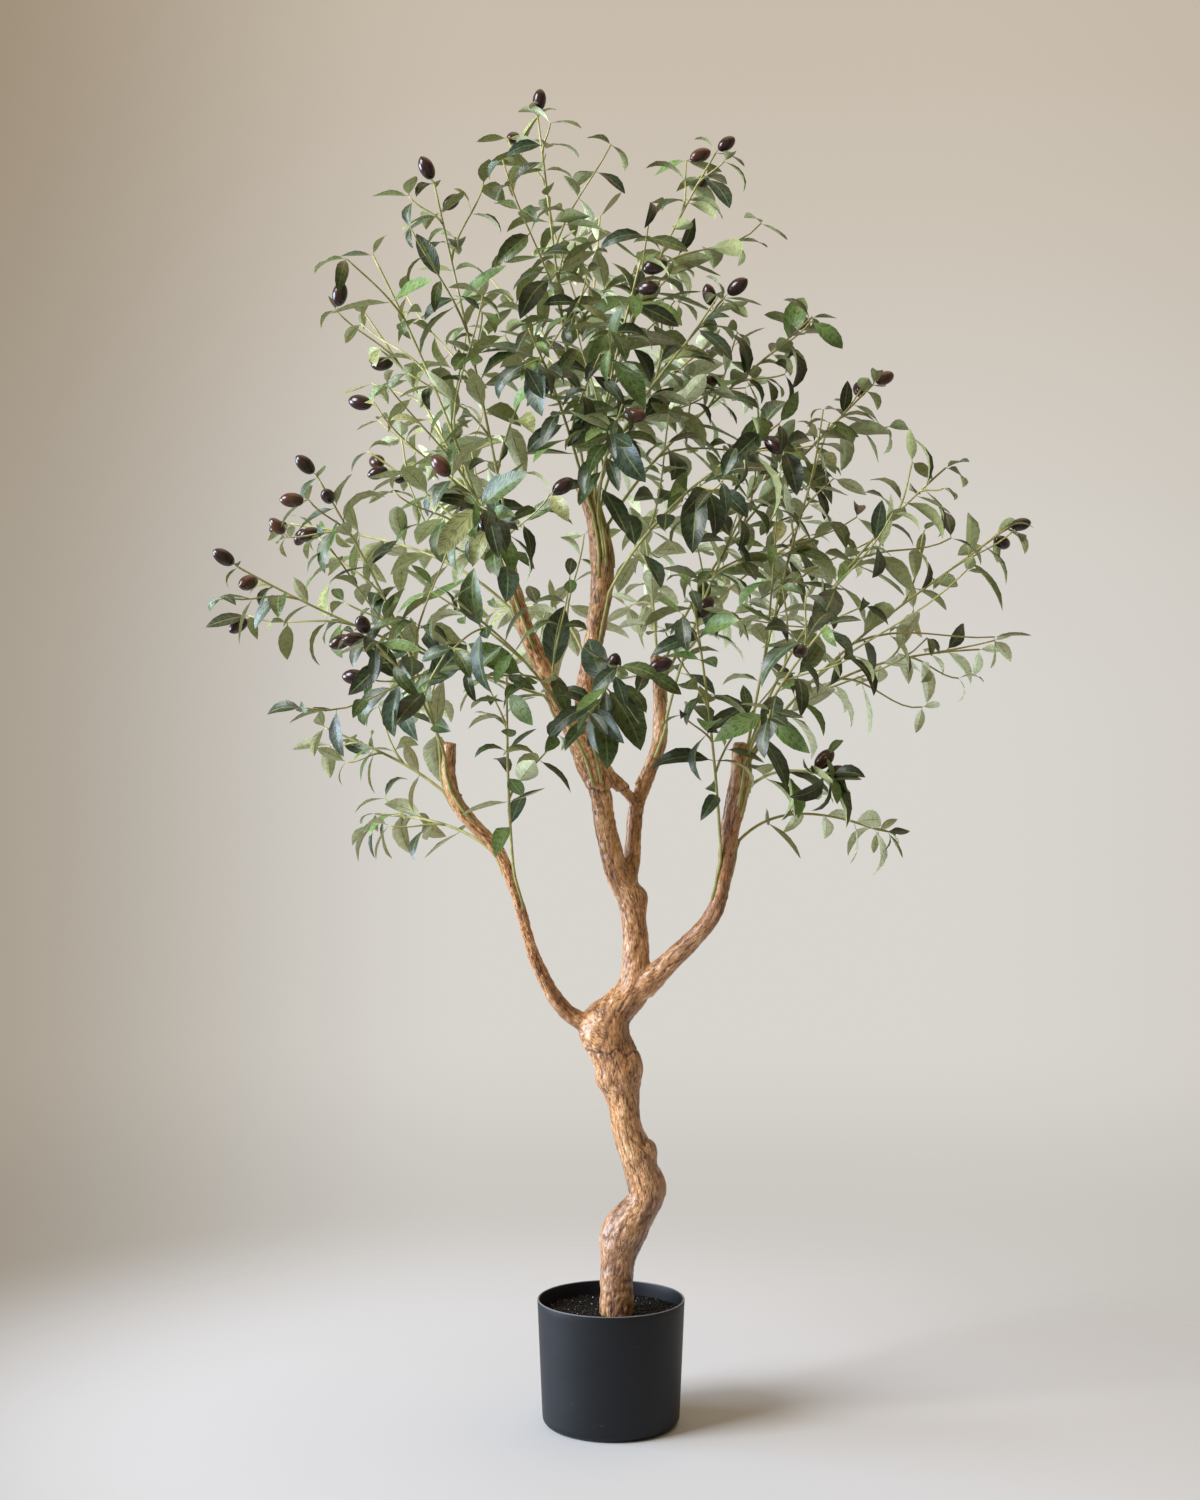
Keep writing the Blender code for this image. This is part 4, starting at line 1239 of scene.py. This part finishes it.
def curled(bend, cup, twist, wave, width, phase):
    """The leaf's corners, narrowed, cupped, waved, twisted and bent down over its length."""
    x, y, z = leaf_corners.T
    across_share = y / (LEAF_WIDTH / 2)
    y = y * width
    cup_depth = math.tan(math.radians(cup)) * LEAF_WIDTH / 2 * width
    z = z + cup_depth * np.abs(across_share) ** 1.5 * 0.6
    z = z + LEAF_WAVE * wave * across_share ** 2 * np.sin(x * 7 + phase) * np.sign(y)
    angle = np.radians(twist) * x
    y, z = y * np.cos(angle) - z * np.sin(angle), y * np.sin(angle) + z * np.cos(angle)
    total = math.radians(bend) or 1e-6
    spent = total * x ** LEAF_BEND
    steps = np.linspace(0, 1, 200)
    angles = total * steps ** LEAF_BEND
    run = np.interp(x, steps, np.cumsum(np.cos(angles)) / 200)
    drop = np.interp(x, steps, np.cumsum(np.sin(angles)) / 200)
    return np.column_stack([run + z * np.sin(spent), y, -drop + z * np.cos(spent)])


patterns = [curled(*curl, phase=number * 1.9) for number, curl in enumerate(CURLS)]
print("leaf patterns:", len(patterns))

# %% [markdown]
# ## Where the leaves sit
# The leaves leave their twig in pairs, and each pair is turned from the last. They get smaller
# towards the tip, turn their upper side to the light and hang a little. A leaf that would cut
# through the bark, or lie in one that is there already, is turned twice and then left out.

# %% A leaf and the room it needs
# The plain leaf that tests for room: all but its sag are shares of the leaf's length
PROBE_FOOT = 0.12
PROBE_TIP = 0.97
PROBE_HALF_WIDTH = 0.136
PROBE_LIFT = 0.03  # how far its middle stands up
PROBE_SAG = 0.45  # share of its pattern's bend

Leaf = namedtuple("Leaf", "root out up length pattern spray")
Olive = namedtuple("Olive", "stalk hang size")


def probe(leaf):
    """A plain leaf of two faces, for the test of what it would cut through."""
    side = leaf.out.cross(leaf.up).normalized() * leaf.length * PROBE_HALF_WIDTH
    mid = leaf.root + leaf.out * leaf.length * 0.5 + leaf.up * leaf.length * PROBE_LIFT
    sag = math.radians(CURLS[leaf.pattern][0]) * PROBE_SAG
    tip = leaf.root + leaning(leaf.out, -leaf.up, sag) * leaf.length * PROBE_TIP
    near = leaf.root + leaf.out * leaf.length * PROBE_FOOT
    return [near, mid + side, tip, mid - side], [(0, 1, 3), (1, 2, 3)]


class Room:
    """The leaves that are placed, in boxes, so that a new one is tested against its neighbours."""

    def __init__(self, cell, solids):
        self.cell = cell
        self.solids = solids
        self.boxes = {}

    def box_of(self, corners):
        middle = corners[1].lerp(corners[3], 0.5)
        return tuple(int(c // self.cell) for c in middle)

    def is_free(self, corners, faces):
        tree = BVHTree.FromPolygons(corners, faces)
        if any(tree.overlap(solid) for solid in self.solids):
            return False
        box = self.box_of(corners)
        for step in product((-1, 0, 1), repeat=3):
            near = tuple(a + b for a, b in zip(box, step))
            if any(tree.overlap(other) for other in self.boxes.get(near, ())):
                return False
        return True

    def hold(self, corners, faces):
        self.boxes.setdefault(self.box_of(corners), []).append(BVHTree.FromPolygons(corners, faces))


# %% Leaves in pairs
LEAF_LENGTHS = (0.060, 0.094)
LEAF_SCALES = (1.00, 0.97, 0.90, 0.90)  # by the tint of the spray: the front ones have larger leaves
LEAF_TAPER = (1.10, 0.44)  # size at the start of a twig, and how much of it is lost to the tip
LEAF_LEANS = (36, 70)  # degrees between a leaf and its twig
LEAF_DROOP = (0.05, 0.75)
LEAF_TURN = 24  # spread of a leaf's turn about its midrib, in degrees
TO_LIGHT = Vector((0, -0.15, 0))  # a leaf's upper side leans a little to the front
PAIR_TURN = (90, 25)  # degrees from pair to pair, and how far that varies
STEM_PAIRS = 0.042  # between pairs along a stem, in metres
TWIG_PAIRS = 0.045
BARE = {"stem": 0.20, "twig": 0.24}  # share of the stem or twig, from its foot, with no leaves


def make_leaf(root, way, outward, size, name, chance):
    """A leaf that leaves its twig towards outward, its upper side turned to the light."""
    lean = math.radians(chance.uniform(*LEAF_LEANS))
    out = leaning(way, outward, lean) - UP * chance.uniform(*LEAF_DROOP)
    out.normalize()
    up = across(out, way * 0.8 + UP * 0.8 + TO_LIGHT)
    up = turned(up, out, math.radians(chance.gauss(0, LEAF_TURN)))
    return Leaf(root, out, up, size, chance.randrange(len(CURLS)), name)


def leaf_pairs(path, spacing, bare, name, chance):
    """The leaf pairs of a stem or twig, the last of them at its tip."""
    count = max(2, round(length_of(path) * (1 - bare) / spacing) + 1)
    turn = chance.uniform(0, math.pi)
    step, vary = PAIR_TURN
    largest, loss = LEAF_TAPER
    wanted = []
    for k in range(count):
        share = bare + (1 - bare) * k / (count - 1)
        root, way = along_path(path, share)
        turn += math.radians(step + chance.uniform(-vary, vary))
        size = chance.uniform(*LEAF_LENGTHS) * LEAF_SCALES[SPRAYS[name].tint] * (largest - loss * share)
        for half_turn in (0, math.pi):
            outward = turned(across(way), way, turn + half_turn + chance.uniform(-0.3, 0.3))
            wanted.append((root, way, outward, size * chance.uniform(0.84, 1.12)))
    return wanted


# %% Hang the olives first, so that the leaves keep clear of them
OLIVE_LENGTH = 0.034
OLIVE_WIDTH = 0.021
STALK_LENGTH = 0.006
OLIVE_LEANS = (0.25, 0.9)  # radians between an olive and its stem, at the stem's tip and below it


def hung_olive(stem, share, chance):
    """An olive on its stalk, at this share of a stem."""
    root, way = along_path(stem, share)
    outward = turned(across(way), way, chance.uniform(0, 2 * math.pi))
    at_tip, beside = OLIVE_LEANS
    out = leaning(way, outward, at_tip if share == 1.0 else beside).normalized()
    hang = (out - UP * chance.uniform(0.0, 0.3)).normalized()
    end = root + out * STALK_LENGTH
    stalk = [root, root.lerp(end, 0.5) + UP * 0.0008, end + hang * 0.001]
    return Olive(stalk, hang, chance.uniform(0.84, 1.0))


def olive_probe(olive):
    """A plain block with the olive's size, for the test of what a leaf would cut through."""
    end, side = olive.stalk[-1], across(olive.hang)
    other = olive.hang.cross(side)
    tip = end + olive.hang * OLIVE_LENGTH * olive.size
    middle = end.lerp(tip, 0.5)
    girth = [way * OLIVE_WIDTH / 2 for way in (side, other, -side, -other)]
    corners = [end, *(middle + way for way in girth), tip]
    sides = [(1, 2), (2, 3), (3, 4), (4, 1)]
    return corners, [(0, a, b) for a, b in sides] + [(5, b, a) for a, b in sides]


TWIG_OLIVES = 0.15  # chance that a side twig ends in an olive, where its spray has some

olives = {}
for number, (name, spray) in enumerate(SPRAYS.items()):
    chance = random.Random(FIRST_SEED * 3 + number)
    olives[name] = [hung_olive(stems[name][1], share, chance) for share in spray.olives]
    bearing = [twig for twig in twigs[name] if spray.olives and chance.random() < TWIG_OLIVES]
    olives[name] += [hung_olive(twig, 0.97, chance) for twig in bearing]
print("olives:", sum(len(o) for o in olives.values()))


# %% Grow the leaves into the room that is left
ROOM_CELL = 0.045  # metres: a leaf is tested against those in its own box and in all round it
TRIES = (0, 0.5, -0.5)  # radians that a leaf is turned about its twig, until it finds room

room = Room(ROOM_CELL, [bark_tree])
for hung in olives.values():
    for olive in hung:
        room.hold(*olive_probe(olive))
leaves = []
skipped = 0
for number, (name, spray) in enumerate(SPRAYS.items()):
    chance = random.Random(FIRST_SEED * 2 + number)
    wanted = leaf_pairs(stems[name][1], STEM_PAIRS / spray.full, BARE["stem"], name, chance)
    for twig in twigs[name]:
        wanted += leaf_pairs(twig, TWIG_PAIRS / spray.full, BARE["twig"], name, chance)
    for root, way, outward, size in wanted:
        for turn in TRIES:
            leaf = make_leaf(root, way, turned(outward, way, turn), size, name, chance)
            shape = probe(leaf)
            if room.is_free(*shape):
                room.hold(*shape)
                leaves.append(leaf)
                break
        else:
            skipped += 1
print("leaves:", len(leaves), "left out:", skipped)


# %% Leaf finishes
UPPER_TINTS = {
    "leaf_deep": (0.012, 0.026, 0.005),
    "leaf_green": (0.040, 0.073, 0.014),
    "leaf_fresh": (0.088, 0.164, 0.038),
    "leaf_pale": (0.235, 0.265, 0.108),
    "leaf_cool": (0.023, 0.049, 0.023),
}
UNDER_TINTS = {"leaf_under": (0.345, 0.395, 0.185), "leaf_under_pale": (0.57, 0.63, 0.40)}
RIB_TINTS = {"leaf_rib": (0.185, 0.245, 0.095), "leaf_rib_under": (0.360, 0.370, 0.120)}


def vein_net(cloth):
    """A net of veins that run out and forward from the midrib: 1 in a vein, 0 beside it."""
    spot = cloth.add("SeparateXYZ", {"Vector": cloth.add("UVMap", uv_map="leaf").outputs["UV"]})
    aside = cloth.sums("ABSOLUTE", spot.outputs["Y"])
    along = cloth.sums("SUBTRACT", spot.outputs["X"], cloth.times(aside, 0.9))
    slanted = cloth.add("CombineXYZ", {"X": along, "Y": cloth.times(aside, 0.6)})
    inputs = {"Vector": slanted.outputs["Vector"], "Scale": 14.0}
    cells = cloth.add("TexVoronoi", inputs, feature="DISTANCE_TO_EDGE")
    return cloth.ramp(cells.outputs["Distance"], (0.0, 1.0), (0.25, 0.0))


def leaf_finish(name, colour, is_upper):
    """Printed cloth: a fine net of pale veins, a faint mottle and a soft sheen on the upper side."""
    cloth = Finish(name)
    mottle = cloth.noise(cloth.place(), 46.0, 3.0)
    net = vein_net(cloth)
    ground = cloth.mix(mottle, tinted(colour, 0.74), tinted(colour, 1.12, 0.002))
    line = cloth.times(net, 0.85 if is_upper else 0.35)
    colour = cloth.mix(line, ground, tinted(colour, 1.9, 0.040))
    rough, shine = ((0.32, 0.45), 0.60) if is_upper else ((0.55, 0.70), 0.3)
    return cloth.finished(
        Base_Color=colour, Roughness=cloth.spread(mottle, *rough), Specular_IOR_Level=shine,
        Normal=cloth.bump(net, 0.0002, 0.6),
    )


finishes = [leaf_finish(name, colour, True) for name, colour in UPPER_TINTS.items()]
finishes += [leaf_finish(name, colour, False) for name, colour in (UNDER_TINTS | RIB_TINTS).items()]
# How often a spray of each tint has a leaf of each upper tint
TINT_SHARES = (
    (0.36, 0.22, 0.14, 0.0, 0.28), (0.22, 0.32, 0.16, 0.06, 0.24),
    (0.08, 0.34, 0.18, 0.26, 0.14), (0.03, 0.25, 0.15, 0.50, 0.07),
)

# %% Join the leaves in a few pieces
LEAF_PIECES = {
    "leaves_left": [n for n, s in SPRAYS.items() if s.limb == "bough_left"],
    "leaves_upper_left": [n for n, s in SPRAYS.items() if s.limb in ("bough_upper_left", "trunk")],
    "leaves_crown": [n for n, s in SPRAYS.items() if s.limb == "bough_upper_right"],
    "leaves_right": [n for n, s in SPRAYS.items() if s.limb in ("bough_right", "bough_centre")],
}


def leaf_frame(leaf):
    side = leaf.up.cross(leaf.out)
    return np.array([leaf.out[:], side[:], leaf.up[:]]) * leaf.length


def leaf_piece(name, sprays):
    """One mesh of all the leaves of these sprays, with a finish for each side of each leaf."""
    chosen = [leaf for leaf in leaves if leaf.spray in sprays]
    chance = random.Random(len(chosen))
    unders = len(UPPER_TINTS)
    corners = np.concatenate([patterns[l.pattern] @ leaf_frame(l) + np.array(l.root) for l in chosen])
    parts = []
    for leaf in chosen:
        upper = chance.choices(range(unders), TINT_SHARES[SPRAYS[leaf.spray].tint])[0]
        under = unders + (SPRAYS[leaf.spray].tint + chance.randrange(2) >= 2)
        parts += [(upper, under, unders + 2, unders + 3)[part] for part in leaf_parts]
    faces = repeated(leaf_faces, len(leaf_corners), len(chosen))
    piece = mesh_piece(name, corners, faces, *finishes)
    piece.data.polygons.foreach_set("material_index", parts)
    piece.data.shade_smooth()
    piece.data.set_sharp_from_angle(angle=math.radians(70))
    uv = np.tile(leaf_uv, (len(chosen), 1))
    loops = np.zeros(len(piece.data.loops), int)
    piece.data.loops.foreach_get("vertex_index", loops)
    piece.data.uv_layers.new(name="leaf").data.foreach_set("uv", uv[loops].ravel())
    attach(piece, "root")
    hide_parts(*sprays)
    print(name, "leaves:", len(chosen), "triangles:", triangles(piece))
    return piece


for name, sprays in LEAF_PIECES.items():
    leaf_piece(name, sprays)

# %% [markdown]
# ## Stems and twigs
# The wires are wrapped in yellow-green paper tape, thickest where they are taped to a bough. Curves
# with a bevel would do, but plain tubes of a few sides keep the count of faces known, and the twigs
# can swell a little at even steps along their length.

# %% Tubes for all stems and twigs
STEM_SIDES = 7
TWIG_SIDES = 5
STEM_TIP_SHARE = 0.62  # girth of a stem at its tip
SWELL_WAVES = 44  # radians over the length: seven swellings
TWIG_SWELL = 0.15  # height of the swellings, as a share of the radius


def wire_radius(radius, swell=0.0):
    """A radius that tapers to the tip, with small evenly spaced swellings where swell is given."""

    def radius_at(share, _centre, _outward):
        taper = 1 - (1 - STEM_TIP_SHARE) * share
        return radius * taper * (1 + swell * (0.5 + 0.5 * math.cos(share * SWELL_WAVES)))

    return radius_at


wire_corners, wire_faces = [], []


def add_shape(shape):
    corners, faces = shape
    start = len(wire_corners)
    wire_corners.extend(corners)
    wire_faces.extend(tuple(i + start for i in face) for face in faces)


for name, spray in SPRAYS.items():
    run, stem = stems[name]
    add_shape(tube_shape([*run, *stem], wire_radius(STEM_RADIUS), STEM_SIDES))
    for twig in twigs[name]:
        add_shape(tube_shape(twig, wire_radius(TWIG_RADIUS, TWIG_SWELL), TWIG_SIDES))
print("corners of stems and twigs:", len(wire_corners))

# %% [markdown]
# ## Olives
# The olives are hollow plastic with a deep glossy paint, two or so to a spray, on short stalks near
# its tip. A sphere with few rings is stretched, and its poles are drawn in for the pointed end and
# the dimple at the stalk. Most are dark, and some are still brown or golden, dealt out at random.

# %% One olive
STALK_RADIUS = 0.0008
POLE = 0.495  # half height of the sphere beyond which only its two poles lie
DIMPLE = 0.0012  # depth at the stalk
POINT = 0.0007  # how far the other end stands out
PINCH = 0.10  # how much narrower that end is

select_only()
bpy.ops.mesh.primitive_uv_sphere_add(segments=18, ring_count=12, radius=0.5)
pattern = named("olive_pattern")
for vert in pattern.data.vertices:
    x, y, z = vert.co
    pinch = 1 - PINCH * max(0.0, z * 2) ** 3
    vert.co = ((z + 0.5) * OLIVE_LENGTH, x * OLIVE_WIDTH * pinch, y * OLIVE_WIDTH * pinch)
    if z < -POLE:
        vert.co.x += DIMPLE
    if z > POLE:
        vert.co.x += POINT
outward_faces(pattern)
olive_corners, olive_faces = taken_apart(pattern)
print("faces of an olive:", len(olive_faces))

# %% Place the olives
OLIVE_TINTS = {
    "olive_dark": (0.0190, 0.0075, 0.0078),
    "olive_brown": (0.050, 0.019, 0.013),
    "olive_gold": (0.095, 0.070, 0.022),
}
OLIVE_SHARES = (0.70, 0.26, 0.04)
hung_corners, olive_tints = [], []
chance = random.Random(FIRST_SEED + 7)
for name, hung in olives.items():
    for olive in hung:
        add_shape(tube_shape(olive.stalk, wire_radius(STALK_RADIUS), TWIG_SIDES))
        side = across(olive.hang, Vector((0, 1, 0.2)))
        turn = np.array([olive.hang[:], side[:], olive.hang.cross(side)[:]]) * olive.size
        hung_corners.append(olive_corners @ turn + np.array(olive.stalk[-1]))
        olive_tints.append(chance.choices((0, 1, 2), OLIVE_SHARES)[0])


def olive_finish(name, colour):
    """Glossy paint over plastic, with pale pin-pricks and a faint dull bloom."""
    paint = Finish(name)
    place = paint.place()
    bloom = paint.noise(place, 90.0, 3.0)
    pricks = paint.ramp(paint.noise(place, 900.0, 1.0), (0.70, 0.0), (0.76, 0.5))
    ground = paint.mix(bloom, colour, tinted(colour, 2.2, 0.004))
    colour = paint.mix(pricks, ground, tinted(colour, 3, 0.03))
    return paint.finished(Base_Color=colour, Roughness=paint.spread(bloom, 0.18, 0.34), Coat_Weight=0.3)


faces = repeated(olive_faces, len(olive_corners), len(olive_tints))
olive_finishes = [olive_finish(name, colour) for name, colour in OLIVE_TINTS.items()]
olive_piece = mesh_piece("olives", np.concatenate(hung_corners), faces, *olive_finishes)
olive_piece.data.polygons.foreach_set("material_index", np.repeat(olive_tints, len(olive_faces)))
olive_piece.data.shade_smooth()
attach(olive_piece, "root")
print("olives:", len(olive_tints), "triangles:", triangles(olive_piece))


# %% Finish the stems and twigs
def tape_finish():
    """Paper tape: yellow-green, a little darker in patches, with fine turns and a dull shine."""
    tape = Finish("stem_tape")
    place = tape.place()
    patch = tape.noise(place, 60.0, 4.0)
    fibre = tape.noise(place, 900.0, 3.0)
    colour = tape.ramp(
        patch, (0.35, (0.36, 0.37, 0.125)), (0.6, (0.53, 0.52, 0.210)), (0.75, (0.66, 0.63, 0.320))
    )
    return tape.finished(
        Base_Color=colour, Roughness=tape.spread(fibre, 0.45, 0.65), Normal=tape.bump(fibre, 0.0002, 0.5)
    )


wires = mesh_piece("stems_and_twigs", wire_corners, wire_faces, tape_finish())
wires.data.shade_smooth()
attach(wires, "root")
print("stem triangles:", triangles(wires))
